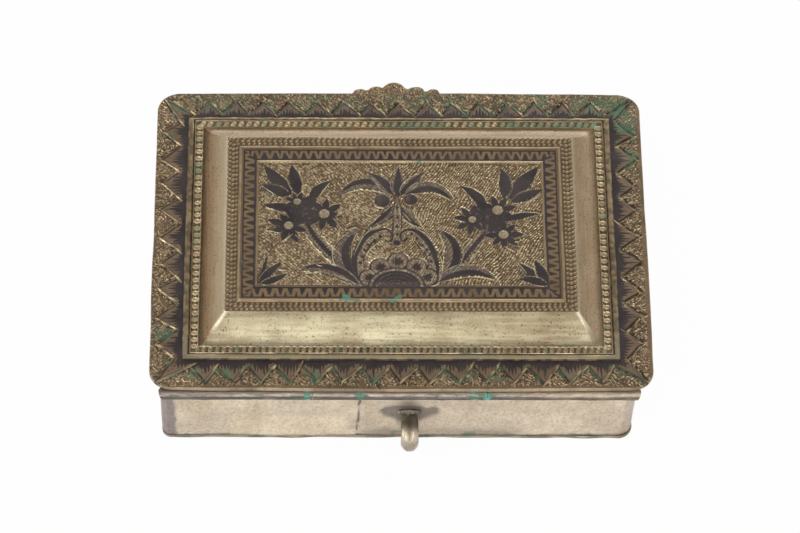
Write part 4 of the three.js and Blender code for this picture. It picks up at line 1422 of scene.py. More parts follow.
    def chase_rim(self) -> None:
        """Build the flat rim in four mitred sides."""
        inner_x, inner_y = self.fillet[0] - 0.3, self.fillet[1] - 0.3
        outer_x, outer_y = self.edge
        radius = self.corner_radius
        for side in RIM_SIDES:
            tx, ty = side.along
            nx, ny = ty, -tx
            on_x = tx != 0
            outer_half, inner_half = (outer_x, inner_x) if on_x else (outer_y, inner_y)
            outer_far, inner_far = (outer_y, inner_y) if on_x else (outer_x, inner_x)
            across = round(2 * outer_half / self.step_mm)
            along = round((outer_far - inner_far) / self.step_mm)
            u, v = grid_points(across, along)
            p = (2 * u - 1) * outer_half
            past = np.clip((np.abs(p) - (outer_half - radius)) / radius, 0, 1)
            angle = past * math.pi / 4
            edge_s = np.where(past > 0, np.sign(p) * (outer_half - radius + radius * np.sin(angle)), p)
            edge_r = np.where(past > 0, outer_far - radius + radius * np.cos(angle), outer_far)
            inner_s = (2 * u - 1) * inner_half
            s = inner_s + (edge_s - inner_s) * v
            away = inner_far + (edge_r - inner_far) * v
            # The long edges bow outwards a little at their middle, as the hand-cut ones do.
            bow = (0.35 if on_x else 0.0) * np.clip(1 - (s / outer_half) ** 2, 0, 1)
            uneven = bow + waver(s, s * 0, 7.0, side.seed, 0.16) - 0.08
            away = np.minimum(away + (1 - past) * uneven * step(v, 0.5, 1.0), outer_far + bow)
            x = tx * s + nx * away
            y = ty * s + ny * away
            fillet_far = self.fillet[1] if on_x else self.fillet[0]
            fillet_half = self.fillet[0] if on_x else self.fillet[1]
            relief = self.rim_relief(x, y, s, away - fillet_far, fillet_half, side)
            warp = waver(x, y, 14.0, 61, 0.22) + waver(x, y, 2.0, 62, 0.05)
            z = self.rim_top + relief.height + warp * step(v, 0.0, 0.3)
            tongue = (side.name == "far") * step(-s, -9.4, -8.9) * fall(-s, 7.8, 8.4)
            z = z - 0.3 * (1 - tongue) * np.clip((v - 0.965) / 0.035, 0, 1) ** 2
            relief.x, relief.y = x, y
            self.rim_age(relief, v * (1 - 0.3 * tongue))
            piece = lay_grid(f"rim_{side.name}", across, along, x, y + self.centre_y, z)
            close_under(piece, relief.marks(), self.seat + 0.05)
            finish_piece(piece, self.rim_finish, "lid", ["lid_plate", "niello_rim"])

    def rim_age(self, relief: Relief, v: Array) -> None:
        """Lay dirt, verdigris and a painted highlight along the outer edge on the rim."""
        x, y = relief.x, relief.y
        relief.lay(relief.grime, ALL, 0.3 * step(clouds(x, y, 5.0, 70), 0.5, 0.8))
        relief.lay(relief.grime, ALL, 0.35 * step(v, 0.88, 0.96) * clouds(x, y, 2.0, 74))
        # A painted highlight runs along the rounded outer edge, strongest on the near side.
        near = fall(y, -33, -31)
        relief.lay(relief.pale, ALL, (0.25 + 0.6 * near) * step(v, 0.955, 0.985))
        film = np.maximum.reduce(
            [
                0.44 * step(y, 26, 30) * step(clouds(x, y, 2.5, 71), 0.3, 0.7),
                0.5 * step(x, 38, 42) * step(y, 5, 20) * step(clouds(x, y, 2.5, 72), 0.25, 0.6),
                0.34 * fall(y, -31, -28) * step(clouds(x, y, 2.0, 73), 0.4, 0.7),
            ]
        )
        relief.verdigris = np.maximum(relief.verdigris, film * relief.punched)
        bloom(
            relief,
            (
                (-43.5, 30.5, 3.2, 0.55), (-38.0, 31.5, 2.8, 0.5), (-33.0, 32.0, 2.2, 0.5),
                (-45.0, 24.0, 2.0, 0.5), (10.0, 32.0, 2.0, 0.55), (20.0, 31.0, 2.5, 0.6),
                (28.0, 32.0, 3.4, 0.66), (36.0, 32.0, 4.6, 0.7), (42.5, 31.0, 5.2, 0.71),
                (44.5, 26.0, 4.4, 0.7), (44.0, 19.0, 3.4, 0.64), (43.0, 12.0, 2.0, 0.5),
                (44.5, 4.0, 1.8, 0.45), (-44.6, -22.5, 2.6, 0.68), (-44.0, -29.0, 2.0, 0.5),
                (-38.5, -31.5, 2.4, 0.6), (-32.8, -31.5, 1.8, 0.72), (-31.6, -29.6, 1.2, 0.7),
                (-26.0, -32.5, 1.6, 0.5), (-15.5, -30.6, 1.5, 0.75), (-16.6, -32.6, 1.4, 0.6),
                (-5.0, -32.5, 1.6, 0.5), (8.0, -31.0, 1.8, 0.6), (13.0, -31.5, 2.0, 0.68),
                (18.0, -32.4, 1.8, 0.62), (31.0, -31.5, 2.2, 0.55), (41.0, -31.0, 2.2, 0.5),
                (5.5, 33.4, 1.6, 0.6),
            ),
            80,
        )
        relief.verdigris *= 1 - 0.6 * relief.niello

    # Sheet, cove and applied frames

    def sheet(self) -> None:
        """Build the raised sheet: its flat under the frames, the cove and its hollow underside."""
        steps = 18
        top = self.plateau_top
        wide = self.cove_foot[0] - self.plateau[0]
        tall = top - self.rim_top
        ridge = self.plateau[0] - self.plateau[1]
        profile = [ring(self.fillet, 0.3, self.rim_top - 0.02), ring(self.cove_foot, -0.2, self.rim_top)]
        under: list[tuple[float, ...]] = []
        for k in range(steps + 1):
            t = k / steps
            rise = 0.45 * t + 0.55 * t * t
            slope = math.atan2(tall * (0.45 + 1.1 * t), wide)
            corner = 2.2 * (1 - t) ** 1.5
            level = self.rim_top + tall * rise
            profile.append(ring(self.cove_foot, wide * t, level, corner))
            inner = wide * t + self.thickness * math.sin(slope)
            under.append(ring(self.cove_foot, inner, level - self.thickness * math.cos(slope), corner))
        round_edge = self.corner_radius - 0.5
        below = [
            ring(self.plateau, 0.25, top - 0.1),
            ring(self.plateau, 0.6, top - 0.42),
            (ridge, 0.0, top - 0.42, 0.0),
            (ridge, 0.0, top - self.thickness, 0.0),
            ring(self.plateau, 1.6, top - self.thickness),
            *reversed(under[1:]),
            ring(self.cove_foot, 0.4, self.seat),
            ring(self.edge, 1.0, self.seat, round_edge),
            ring(self.edge, 1.0, self.seat + 0.4, round_edge),
            ring(self.fillet, 0.6, self.seat + 0.4),
            profile[0],
        ]
        piece, x, y, z, row = self.ring_sheet("lid_sheet", profile + below, 0.25)
        shown = (row >= 3) & (row < steps + 2)
        ripple = waver(x, y, 9.0, 90, 0.1) + waver(x, y, 2.2, 91, 0.03)
        z = z + np.where(shown, ripple, 0)
        share = np.clip((row - 2) / steps, 0, 1)
        over = row <= steps + 4
        foot = np.where(over, 1 - share, 0)
        spread = np.where(row > 0, self.far_spread * foot, 0) * step(y, 16, 20)
        move_points(piece, x, y + spread + self.centre_y, z)
        brushed = clouds(np.where(np.abs(x) > np.abs(y) + ridge, y, x), share * 90, 5.0, 95)
        sideways = np.abs(x) - ridge > np.abs(y)
        left, right = sideways & (x < 0), sideways & (x > 0)
        far, front = ~sideways & (y > 0), ~sideways & (y < 0)
        patches = step(clouds(x, y, 4.0, 97), 0.4, 0.8)
        # Painted light on the cove: shade at its foot, deepening towards the foot on the left and along the
        # top of the front; sheen on the far side; highlights along its upper edge, on the upper left cove
        # and on the front corners' arrises.
        grime = 0.4 * np.clip(foot * 3.2 - 2.3, 0, 1) + 0.1 * step(brushed, 0.4, 0.8) + 0.12 * right
        front_dirt_and_shade = front * (0.12 * patches + 0.16 * step(share, 0.86, 0.95))
        grime = grime + left * (0.6 * foot**1.3) + 0.05 * far + front_dirt_and_shade
        spots = 0.5 * left + far * (0.3 + 0.4 * patches) + front * (0.35 * patches + 0.1) + 0.2 * right
        pale = far * (0.85 - 0.2 * foot) + right * (0.2 + 0.3 * clouds(x, y, 3.0, 98)) + left * 0.3
        bright = 0.3 * step(share, 0.86, 1.0) * (1 - front) + 0.1 * fall(brushed, 0.25, 0.5) * (front + 0.3)
        bright = bright + 0.25 * left * step(share, 0.3, 0.9)
        corner = np.abs(np.abs(x) - np.abs(y) - ridge)
        arris = fall(corner, 0.35, 0.8) * step(share, 0.3, 0.75) * fall(y, -20, -15)
        bright = np.clip(bright + 0.75 * arris, 0, 1) * over
        green = 0.55 * np.clip(foot * 4 - 3, 0, 1) * step(clouds(x, y, 1.3, 94), 0.55, 0.8)
        # A dark scratch runs along the left cove.
        scratch = hump(x, -35.6, 0.2) * fall(np.abs(y + 9.3), 1.0, 1.6)
        grime = np.where(over, np.clip(np.maximum(grime, 0.85 * scratch), 0, 0.85), 0.25)
        # On the left cove the brown deepens towards the foot as painted shade.
        brown = left * (0.3 + 0.35 * foot) + right * (0.2 + 0.2 * clouds(x, y, 3.0, 99))
        marks = {"brown": brown, "pale": pale, "spots": spots}
        marks = {name: np.where(over, values, 0) for name, values in marks.items()}
        join_seams(piece, {"grime": grime, "cut": bright, "verdigris": green, **marks}, False)
        finish_piece(piece, self.cove_finish, "lid", ["lid_plate"], 32)

    def ring_sheet(
        self, name: str, profile: Sequence[tuple[float, ...]], step_mm: float
    ) -> tuple[Piece, Array, Array, Array, Array]:
        """Bend a grid into rectangular rings.

        Args:
            name: Name of the piece.
            profile: Half width, half depth, height and corner radius of each ring.
            step_mm: Distance between points along the rings.

        Returns:
            The piece, and the place and ring of each of its points.
        """
        wide, deep = profile[0][0], profile[0][1]
        nx, ny = round(2 * wide / step_mm), round(2 * deep / step_mm)
        corners = [(-1, -1, 1, -1, nx), (1, -1, 1, 1, ny), (1, 1, -1, 1, nx), (-1, 1, -1, -1, ny)]
        around: list[Point] = []
        for ax, ay, bx, by, count in corners:
            around += [(ax + (bx - ax) * k / count, ay + (by - ay) * k / count) for k in range(count)]
        around.append(around[0])
        loop = np.array(around)
        rows = np.array(profile)
        half_x, half_y, _, radius = (rows[:, k : k + 1] for k in range(4))
        x, y = loop[:, 0] * half_x, loop[:, 1] * half_y
        past_x, past_y = np.abs(x) - (half_x - radius), np.abs(y) - (half_y - radius)
        inside = (radius > 0) & (past_x > 0) & (past_y > 0)
        pull = np.where(inside, radius / np.maximum(np.hypot(past_x, past_y), 1e-6), 1.0)
        x = np.where(inside, np.sign(x) * (np.abs(x) - past_x * (1 - pull)), x).ravel()
        y = np.where(inside, np.sign(y) * (np.abs(y) - past_y * (1 - pull)), y).ravel()
        z = np.repeat(rows[:, 2], len(loop))
        row = np.repeat(np.arange(len(rows)), len(loop))
        piece = lay_grid(name, len(loop) - 1, len(rows) - 1, x, y + self.centre_y, z)
        return piece, x, y, z, row

    def fillet_moulding(self) -> None:
        """Build the plain fillet round the raised part."""
        width, height = self.fillet_width, self.fillet_height
        section = [
            (-0.1, -0.4), (-0.02, 0.25), (0.05, 0.42), (0.16, height), (0.5, height + 0.04),
            (0.86, height), (1.02, 0.42), (1.1, 0.2), (width, 0.02), (width, -0.4), (-0.1, -0.4),
        ]
        profile = [ring(self.fillet, inward, self.rim_top + up) for inward, up in section]
        piece, x, y, z, row = self.ring_sheet("fillet", profile, 0.25)
        shown = (row > 0) & (row < 9)
        wander = waver(x, y, 8.0, 110, 0.16) + waver(x, y, 1.4, 111, 0.12)
        x = x * (1 + np.where(shown, wander, 0) / self.fillet[0])
        y = y * (1 + np.where(shown, wander, 0) / self.fillet[1])
        z = z + np.where(shown, 0.5 * wander, 0)
        spread = self.far_spread * np.clip((row - 3) / 4.0, 0, 1) * (row < 10) * step(y, 20, 24)
        move_points(piece, x, y + spread + self.centre_y, z)
        inner = np.clip((row - 6) / 2.0, 0, 1) * (row < 9)
        ragged = clouds(x, y, 1.6, 112)
        far = step(y, 20, 26)
        near = fall(y, -26, -20)
        left = fall(x, -40, -36)
        green = inner * step(ragged, 0.55, 0.75) * np.clip(0.35 + near + 0.6 * left + 0.3 * far, 0, 1)
        blotch = 0.3 * clouds(x, y, 3.4, 113) + 0.7 * clouds(x, y, 0.7, 115)
        right = step(x, 36, 40)
        # The fillet is darker along its inner edge, and on the left and right sides as painted shade; the
        # near side gets painted sheen, painted highlights and a painted shaded lower edge, the far side a
        # painted highlight along its inner top.
        grime = 0.4 * inner + 0.5 * step(blotch, 0.3, 0.7) + 0.28 * (left + right)
        grime = grime + 0.1 * near + 0.6 * (row < 3) * fall(y, -27.9, -27.2)
        bright = 0.25 * near * (1 - np.abs(row - 4) / 3.0) * step(blotch, 0.35, 0.65)
        bright = np.clip(bright, 0, 1) + 0.6 * far * (row == 6) * step(ragged, 0.25, 0.6)
        pale = 0.3 * near + 0.25 * (1 - left) * clouds(x, y, 3.0, 114)
        join_seams(piece, {"grime": grime, "verdigris": 0.7 * green, "cut": bright, "pale": pale}, False)
        finish_piece(piece, self.frame_finish, "lid", ["fillet_frame"], 60)

    def shape_reed(self) -> Piece:
        """Model one reed of the bead wire, with the bead at its inner end.

        Returns:
            The reed, which points outwards along -Y.
        """
        set_down()
        bpy.ops.mesh.primitive_uv_sphere_add(segments=12, ring_count=6, radius=0.5 * MM)
        reed = bpy.context.active_object
        bpy.ops.object.mode_set(mode="EDIT")
        bpy.ops.mesh.select_all(action="SELECT")
        bpy.ops.transform.resize(value=(1.12, 1.6, 1.0))
        bpy.ops.mesh.select_all(action="DESELECT")
        bead_at = (0, 0.6 * MM, 0.18 * MM)
        bpy.ops.mesh.primitive_uv_sphere_add(segments=12, ring_count=6, radius=0.36 * MM, location=bead_at)
        bpy.ops.transform.resize(value=(1.2, 0.9, 1.0), center_override=bead_at)
        bpy.ops.object.mode_set(mode="OBJECT")
        return reed

    def bead_wire(self) -> None:
        """Build the reeded bead wire: a bed, and reeds that end in a bead on their inner side."""
        reed = self.shape_reed()
        points = np.array([v.co for v in reed.data.vertices])
        top = (points[:, 2] - points[:, 2].min()) / np.ptp(points[:, 2])
        rng = np.random.default_rng(120)
        middle = (self.bead[0] - self.bead_width / 2, self.bead[1] - self.bead_width / 2)
        copies: list[Piece] = []
        for tx, ty, half, away in (
            (1, 0, middle[0], middle[1]), (0, 1, middle[1], middle[0]),
            (-1, 0, middle[0], middle[1]), (0, -1, middle[1], middle[0]),
        ):
            nx, ny = ty, -tx
            half, away = half + abs(ty) * self.far_spread / 2, away + (self.far_spread if ny > 0 else 0.0)
            pitch_wanted = self.bead_pitch_near if ny < 0 else self.bead_pitch
            count = round(2 * half / pitch_wanted)
            pitch = 2 * half / count
            slant = 0.5 if ny > 0 else 0.1
            for k in range(count):
                s = -half + (k + 0.5) * pitch + rng.uniform(-0.1, 0.1) + ty * self.far_spread / 2
                wear_and_highlight = rng.uniform(0.2, 1.0)
                green = rng.uniform(0.35, 0.7) if rng.random() < (0.7 if ny > 0 else 0.35) else 0.0
                if ny > 0 and (-3 < -s < 9 or -s > 20):
                    green = rng.uniform(0.74, 0.84)
                size = (pitch / self.bead_pitch) * rng.uniform(1.05, 1.22)
                level = self.rim_top + 0.1 + 0.1 * wear_and_highlight
                place = (tx * s + nx * away, ty * s + ny * away + self.centre_y, level)
                turn = math.atan2(ny, nx) + math.pi / 2 - slant + rng.uniform(-0.12, 0.12)
                copy = reed.copy()
                copy.data = reed.data.copy()
                copy.matrix_world = (
                    Matrix.Translation(Vector(place) * MM)
                    @ Matrix.Rotation(turn, 4, "Z")
                    @ Matrix.Diagonal((size, rng.uniform(0.9, 1.05), 0.55 + 0.3 * wear_and_highlight, 1.0))
                )
                bpy.context.scene.collection.objects.link(copy)
                # The reeds' tops get painted highlights at their inner ends, strongest on the near side, and
                # a pale painted sheen; their lower parts get painted shade.
                bead_end = (0.0001, 0.0006) if ny < 0 else (-0.0006, 0.0004)
                inner_end = step(points[:, 1], *bead_end)
                shine = (0.8 if ny < 0 else 0.3 if ny > 0 else 0.36) * wear_and_highlight * inner_end * top
                dirt_and_shade = (0.6 if ny < 0 else 0.7) * (1 - top) ** 1.4 + (0.2 if ny < 0 else 0.0)
                green = green * (1 - 0.12 * top)
                paint(copy, {"cut": shine, "grime": dirt_and_shade, "verdigris": green, "pale": 0.12 * top})
                copies.append(copy)
        bpy.data.objects.remove(reed)
        set_down()
        for copy in copies:
            copy.select_set(True)
        bpy.context.view_layer.objects.active = copies[0]
        bpy.ops.object.join()
        wire = bpy.context.active_object
        bpy.ops.object.transform_apply(location=True, rotation=True, scale=True)
        wire.name = "bead_wire"
        finish_piece(wire, self.frame_finish, "lid", ["bead_wire_frame"], 80)
        self.bead_bed()

    def bead_bed(self) -> None:
        """Build the bed that the reeds stand on, with its two lips."""
        section = [
            (0.0, -0.3), (0.0, 0.3), (0.1, 0.42), (0.25, 0.3), (0.35, 0.18), (1.4, 0.18),
            (1.5, 0.34), (1.62, 0.4), (1.74, 0.12), (1.74, -0.3), (0.0, -0.3),
        ]
        profile = [ring(self.bead, inward, self.rim_top + up) for inward, up in section]
        piece, x, y, z, row = self.ring_sheet("bead_bed", profile, 0.4)
        wander = waver(x, y, 2.0, 131, 0.08)
        z = z + np.where((row > 1) & (row < 8), wander, 0)
        move_points(piece, x, y + self.far_spread * step(y, 20, 23) + self.centre_y, z)
        near = fall(y, -26, -22)
        groove = (row >= 3) & (row <= 5)
        lip = (row == 2) | (row == 7)
        # The lips get painted highlights, strongest on the near side; the groove between them is darker.
        green = step(clouds(x, y, 1.4, 130), 0.5, 0.75) * np.where(lip, 0.3, 0.6)
        grime = np.where(groove, 0.75, 0.2) * (0.6 + 0.6 * clouds(x, y, 1.0, 132))
        bright = np.where(lip, 0.25 + 0.45 * near, 0) * (0.5 + 0.7 * clouds(x, y, 1.5, 133))
        join_seams(piece, {"grime": grime, "verdigris": green, "cut": bright}, False)
        finish_piece(piece, self.frame_finish, "lid", ["bead_wire_frame"], 40)

    # Thumb-piece

    def thumb_crest(self) -> None:
        """Build the scalloped thumb-piece as a tongue of the rim."""
        lobes = ((-7.6, 1.7, 1.3), (-4.4, 1.8, 1.9), (-0.9, 2.4, 2.9), (3.3, 1.8, 2.1), (6.8, 1.5, 1.2))
        start, end = -9.2, 8.2
        across, along = round((end - start) / 0.1), 34
        u, v = grid_points(across, along)
        x = start + (end - start) * u
        reach = np.zeros(x.shape) + 0.12
        for cx, radius, out in lobes:
            inside = np.clip(radius**2 - (x - cx) ** 2, 0, None)
            reach = np.maximum(reach, out - radius + np.sqrt(inside))
        # Between the lobes the edge stays out, so that they rise from one mound.
        mound = np.interp(x, (-9.2, -7.6, -6.0, -2.9, 1.2, 5.0, 8.2), (0.1, 0.8, 1.0, 1.7, 1.6, 0.7, 0.1))
        reach = np.maximum(reach, mound)
        ends = np.minimum(step(x, start, start + 0.5), fall(x, end - 0.5, end))
        reach = 0.05 + (reach - 0.05) * ends
        edge = self.edge[1] + self.centre_y
        y = edge - 0.15 + (reach + 0.15) * v
        relief = Relief(x, y)
        relief.punched += 1.0
        punch_ground(relief, np.full(x.shape, 0.8), x, y, 0.3, 144)
        for line in (
            ((-8.4, edge + 0.1), (-7.2, edge + 1.2)), ((-6.4, edge + 0.2), (-4.6, edge + 1.6)),
            ((-3.0, edge + 0.2), (-1.2, edge + 2.2)), ((-1.2, edge + 2.1), (0.8, edge + 0.3)),
            ((1.6, edge + 0.3), (3.2, edge + 1.8)), ((3.4, edge + 1.6), (5.0, edge + 0.3)),
            ((5.9, edge + 0.2), (7.0, edge + 0.9)),
        ):
            relief.groove(line, 0.2, 0.14, 0.9)
        warp = waver(x, y, 3.0, 141, 0.3) * v
        curl = 0.5 * np.exp(-((x - 2.8) ** 2) / 3.0) * v**2
        z = self.rim_top + relief.height + warp - curl - 0.28 * np.clip((v - 0.9) / 0.1, 0, 1) ** 2
        bloom(relief, ((4.6, edge + 0.2, 1.8, 0.65), (2.4, edge + 1.4, 1.0, 0.6)), 142)
        piece = lay_grid("thumb_crest", across, along, x, y, z)
        close_under(piece, relief.marks(), self.seat + 0.02)
        finish_piece(piece, self.rim_finish, "lid", ["thumb_piece"])

    def build(self) -> None:
        """Build and dress every piece of the lid."""
        self.sheet()
        self.chase_plateau()
        self.chase_rim()
        self.fillet_moulding()
        self.bead_wire()
        self.thumb_crest()


# Body


@dataclass
class Body:
    """The box under the lid: wall strip, bottom plate, hinge and hanging loop.

    Sizes are in millimetres.
    """

    wall_finish: Finish
    strap_finish: Finish
    width: float = 90.4
    depth: float = 66.0
    height: float = 18.8
    corner_radius: float = 2.8
    tight_corner: float = 1.8  # the corner on the left of the hinge's side
    wall: float = 0.9
    bottom: float = 0.9
    lip: float = 0.1  # how far the bottom plate stands out of the wall
    seam_top: float = -7.2
    seam_bottom: float = -8.3
    hinge_y: float = -34.3
    hinge_z: float = 17.5
    hinge_radius: float = 1.1
    middle_half: float = 16.3  # half the length of the middle knuckle
    slant: float = 0.9  # how far the outer knuckles' ends lean in
    shift: float = 0.3  # how far the body sits to the left of the lid's middle
    narrowing: float = 0.6  # how far its right side is drawn in at the bottom
    loop_x: float = 1.7
    loop_width: float = 3.4
    loop_thickness: float = 1.2
    loop_reach: float = 6.3
    loop_bottom: float = 1.6
    loop_top: float = 8.9
    # Verdigris along the hinge: place, reach and strength of each patch
    green_patches: tuple[tuple[float, float, float], ...] = (
        (-41.0, 6.0, 0.7), (-28.0, 7.0, 0.7), (-17.4, 1.6, 1.0), (-12.5, 2.5, 0.75), (-7.6, 2.8, 0.9),
        (2.2, 1.5, 0.66), (9.5, 2.6, 0.8), (13.8, 3.4, 0.96), (16.4, 2.2, 1.0), (21.5, 3.0, 0.6),
    )

    def lean(self, x: Array, z: Array) -> Array:
        """Lean the body a little to the left and draw its right side in, as the bent strip is."""
        return x - self.shift - self.narrowing * (1 - z / self.height) * step(x, 0.0, 40.0)

    def rounded_ring(
        self, name: str, profile: Sequence[tuple[float, float]], step_mm: float
    ) -> tuple[Piece, Array, Array, Array, Array, Array]:
        """Bend a grid round the box.

        Args:
            name: Name of the piece.
            profile: Distance outwards from the wall's face and height of each ring.
            step_mm: Distance between points along the rings.

        Returns:
            The piece, and the place, outward direction and ring of each point.
        """
        wide, deep = self.width / 2, self.depth / 2
        usual, tight = self.corner_radius, self.tight_corner
        quarter = 12  # steps round a corner
        corners = ((1, -1, -90, usual), (1, 1, 0, usual), (-1, 1, 90, usual), (-1, -1, 180, tight))
        centres: list[tuple[float, float, float, float]] = []
        for sx, sy, begin, r in corners:
            for k in range(quarter + 1):
                turn = math.radians(begin + 90 * k / quarter)
                centres.append((sx * (wide - r), sy * (deep - r), turn, r))
        loop: list[tuple[float, float, float, float]] = []
        for (ax, ay, turn, ar), (bx, by, _, br) in zip(centres, centres[1:] + centres[:1]):
            gap = math.dist((ax, ay), (bx, by))
            count = max(1, round(gap / step_mm))
            shares = [k / count for k in range(count)]
            loop += [(ax + (bx - ax) * t, ay + (by - ay) * t, turn, ar + (br - ar) * t) for t in shares]
        loop.append(loop[0])
        ring = np.array(loop)
        rows = np.array(profile)
        out_x, out_y = np.cos(ring[:, 2]), np.sin(ring[:, 2])
        reach = np.maximum(ring[:, 3][None, :] + rows[:, 0][:, None], 0.2)
        x = ring[:, 0][None, :] + out_x[None, :] * reach
        y = ring[:, 1][None, :] + out_y[None, :] * reach
        z = np.repeat(rows[:, 1], len(ring))
        row = np.repeat(np.arange(len(rows)), len(ring))
        normal = np.tile(np.stack([out_x, out_y], axis=1), (len(rows), 1))
        x, y = x.ravel(), y.ravel()
        piece = lay_grid(name, len(ring) - 1, len(rows) - 1, x, y, z)
        return piece, x, y, z, normal, row

    def wall_strip(self) -> None:
        """Build the wall strip: lapped, soldered, dented and bowed a little."""
        steps = 44
        top, low = self.height, self.bottom
        profile = [(-0.05, low), (0.0, low + 0.08)]
        profile += [(0.0, low + 0.08 + (top - 0.2 - low) * k / steps) for k in range(1, steps + 1)]
        profile += [(-0.2, top), (-self.wall + 0.15, top), (-self.wall, top - 0.15)]
        profile += [(-self.wall, top - (top - low) * k / 6) for k in range(1, 6)]
        profile += [(-self.wall, low), (-0.05, low)]
        piece, x, y, z, normal, row = self.rounded_ring("wall_strip", profile, 0.3)
        outside = row <= steps + 1
        sideways = np.abs(normal[:, 0]) > 0.7
        along = np.where(sideways, y + np.sign(x) * 90, np.where(normal[:, 1] > 0, x + 300, x))
        bow = waver(along, z, 13.0, 150, 0.2) + waver(along, z, 3.0, 151, 0.05)
        near = outside & (normal[:, 1] < -0.9)
        share = (self.height - z) / self.height
        wave = waver(z, z * 0, 2.2, 156, 0.25)
        seam = self.seam_top + (self.seam_bottom - self.seam_top) * share + wave
        lap = np.where(near, 0.16 * step(seam - x, -0.05, 0.05) * step(x, -44, -14), 0)
        lx, lz = x - self.loop_x, z - self.loop_top - 0.5
        reach = np.where(lx < 0, 6.0, 6.8)
        span = np.clip(1 - np.abs(lx) / reach, 0, 1)
        upper, lower = 2.0 * span**0.5, -1.8 * span**0.3 - 2.6 * span**1.5
        soft = lz + waver(x, z, 1.3, 164, 1.1)
        wings = step(soft, lower - 0.8, lower + 0.9) * fall(soft, upper - 0.8, upper + 0.8)
        wings = wings * step(span, 0.0, 0.25)
        wings = np.where(np.abs(lx) < reach, wings, 0)
        crown = np.exp(-((lx / 2.4) ** 2) - (((lz - 2.6) / 1.3) ** 2))
        dent = np.where(near, 0.3 * wings * (1 - 0.5 * span), 0)
        push = np.where(outside, bow * np.clip((z - self.bottom) / 2, 0, 1) + lap - dent - 0.12, 0)
        x = self.lean(x + normal[:, 0] * push, z)
        y = y + normal[:, 1] * push
        move_points(piece, x, y, z)
        seam_dark = np.where(near, fall(np.abs(x + self.shift - seam), 0.12, 0.3), 0)
        seam_dark = seam_dark * (0.35 + 0.65 * step(clouds(z, z * 0, 1.1, 157), 0.25, 0.5))
        ragged = clouds(along, z, 1.3, 155)
        edge = 0.5 + 0.6 * clouds(along, z * 0, 5.0, 152) + waver(along, z, 0.9, 158, 0.5)
        foot = fall(z - self.bottom, edge - 0.9, edge + 0.15)
        lift = np.where(near, hump(x, -2.5, 6.0) + 0.9 * hump(x, 14.0, 9.0), 0)
        foot = np.maximum(foot, 0.6 * lift * fall(z + 1.2 * (ragged - 0.5), 2.2, 4.4))
        head = step(z + waver(along, z, 2.5, 153, 0.8), self.height - 1.6, self.height - 0.6)
        stains = step(clouds(along, z * 1.6, 4.5, 154), 0.58, 0.9)
        fine = step(clouds(along, z, 0.35, 159), 0.4, 0.9)
        grime = np.maximum.reduce([0.85 * seam_dark, 0.8 * foot, 0.3 * head, 0.12 * stains, 0.22 * fine])
        grime = np.maximum(grime, np.where(near, 0.5 * wings + 0.55 * crown, 0))
        grime = np.where(outside, np.clip(grime, 0, 0.95), 0.55)
        # The left front corner and a stripe along the left of the front carry a painted reflection of the
        # dark room in violet; the right front corner is tinted violet too, and the violet wings round the
        # loop's root lie over a shallow dent.
        corner_left = outside & (normal[:, 0] < -0.12) & (normal[:, 1] < -0.05)
        band = x + waver(z, z * 0, 1.6, 160, 0.35)
        front_left = np.where(near, fall(band + 0.1 * z * 0.2, -42.9, -42.0), 0.0)
        violet = np.maximum.reduce(
            [
                np.where(corner_left, 0.75, 0.0),
                0.8 * front_left,
                np.where(near, 0.55 * wings, 0),
                0.22 * step(clouds(along, z * 1.5, 7.0, 161), 0.45, 0.8),
                np.where(near, 0.1 * step(x, 0.0, 20.0), 0),
                np.where(near, 0.2 * step(x, -8.6, -8.0) * fall(x, 14, 30), 0),
            ]
        )
        right = outside & (normal[:, 0] > 0.25) & (normal[:, 1] < -0.05)
        violet = np.where(right, np.maximum(violet, 0.35), violet)
        tips = np.exp(-(((lx + 4.9) / 0.9) ** 2) - (((lz - 0.2) / 1.1) ** 2))
        upper_green = np.where(near, step(z, self.height - 1.4, self.height - 0.6), 0.0)
        splash = hump(x, 17.5, 3.0) * step(z + 1.2 * (ragged - 0.5), 14.2, 15.6)
        green = np.maximum.reduce(
            [
                0.62 * step(ragged, 0.5, 0.7) * fall(z - self.bottom, edge - 0.6, edge + 0.4),
                0.6 * lift * step(ragged, 0.35, 0.65) * fall(z, 2.0, 3.8),
                0.6 * np.where(near & (lx < 0), tips, 0),
                0.55 * upper_green * step(ragged, 0.45, 0.7),
                np.where(near, 0.85 * splash, 0),
            ]
        )
        green = np.where(outside, green, 0.25 * step(ragged, 0.7, 0.85))
        violet = np.where(outside, violet, 0.2)
        join_seams(piece, {"grime": grime, "verdigris": green, "violet": violet}, False)
        finish_piece(piece, self.wall_finish, "box", ["wall_band"], 40)

    def bottom_sheet(self) -> None:
        """Build the bottom plate, whose edge stands a little out of the wall."""
        lip = self.lip
        half = self.depth / 2
        profile = [(-half + 0.05, self.bottom), (-8.0, self.bottom), (lip - 0.15, self.bottom)]
        profile += [(lip, self.bottom - 0.15), (lip, 0.2), (lip - 0.2, 0.0), (-8.0, 0.0)]
        profile += [(-half + 0.05, 0.0)]
        piece, x, y, z, normal, row = self.rounded_ring("bottom_sheet", profile, 0.6)
        ragged = clouds(x, y, 1.5, 160)
        edge = (row > 1) & (row < 6)
        wobble = np.where(edge, 0.3 * (clouds(x, y, 4.0, 161) - 0.8), 0)
        x = self.lean(x + normal[:, 0] * wobble, z)
        y = y + normal[:, 1] * wobble
        move_points(piece, x, y, z)
        flat_dirt = 0.3 * step(clouds(x, y, 6.0, 163), 0.4, 0.8)
        grime = np.where(edge, 0.45 + 0.4 * clouds(x, y, 2.5, 162), flat_dirt)
        green = np.where(edge, 0.55 * step(ragged, 0.55, 0.75), 0.3 * step(ragged, 0.75, 0.9))
        join_seams(piece, {"grime": grime, "verdigris": green})
        finish_piece(piece, self.wall_finish, "box", ["bottom_plate"], 40)

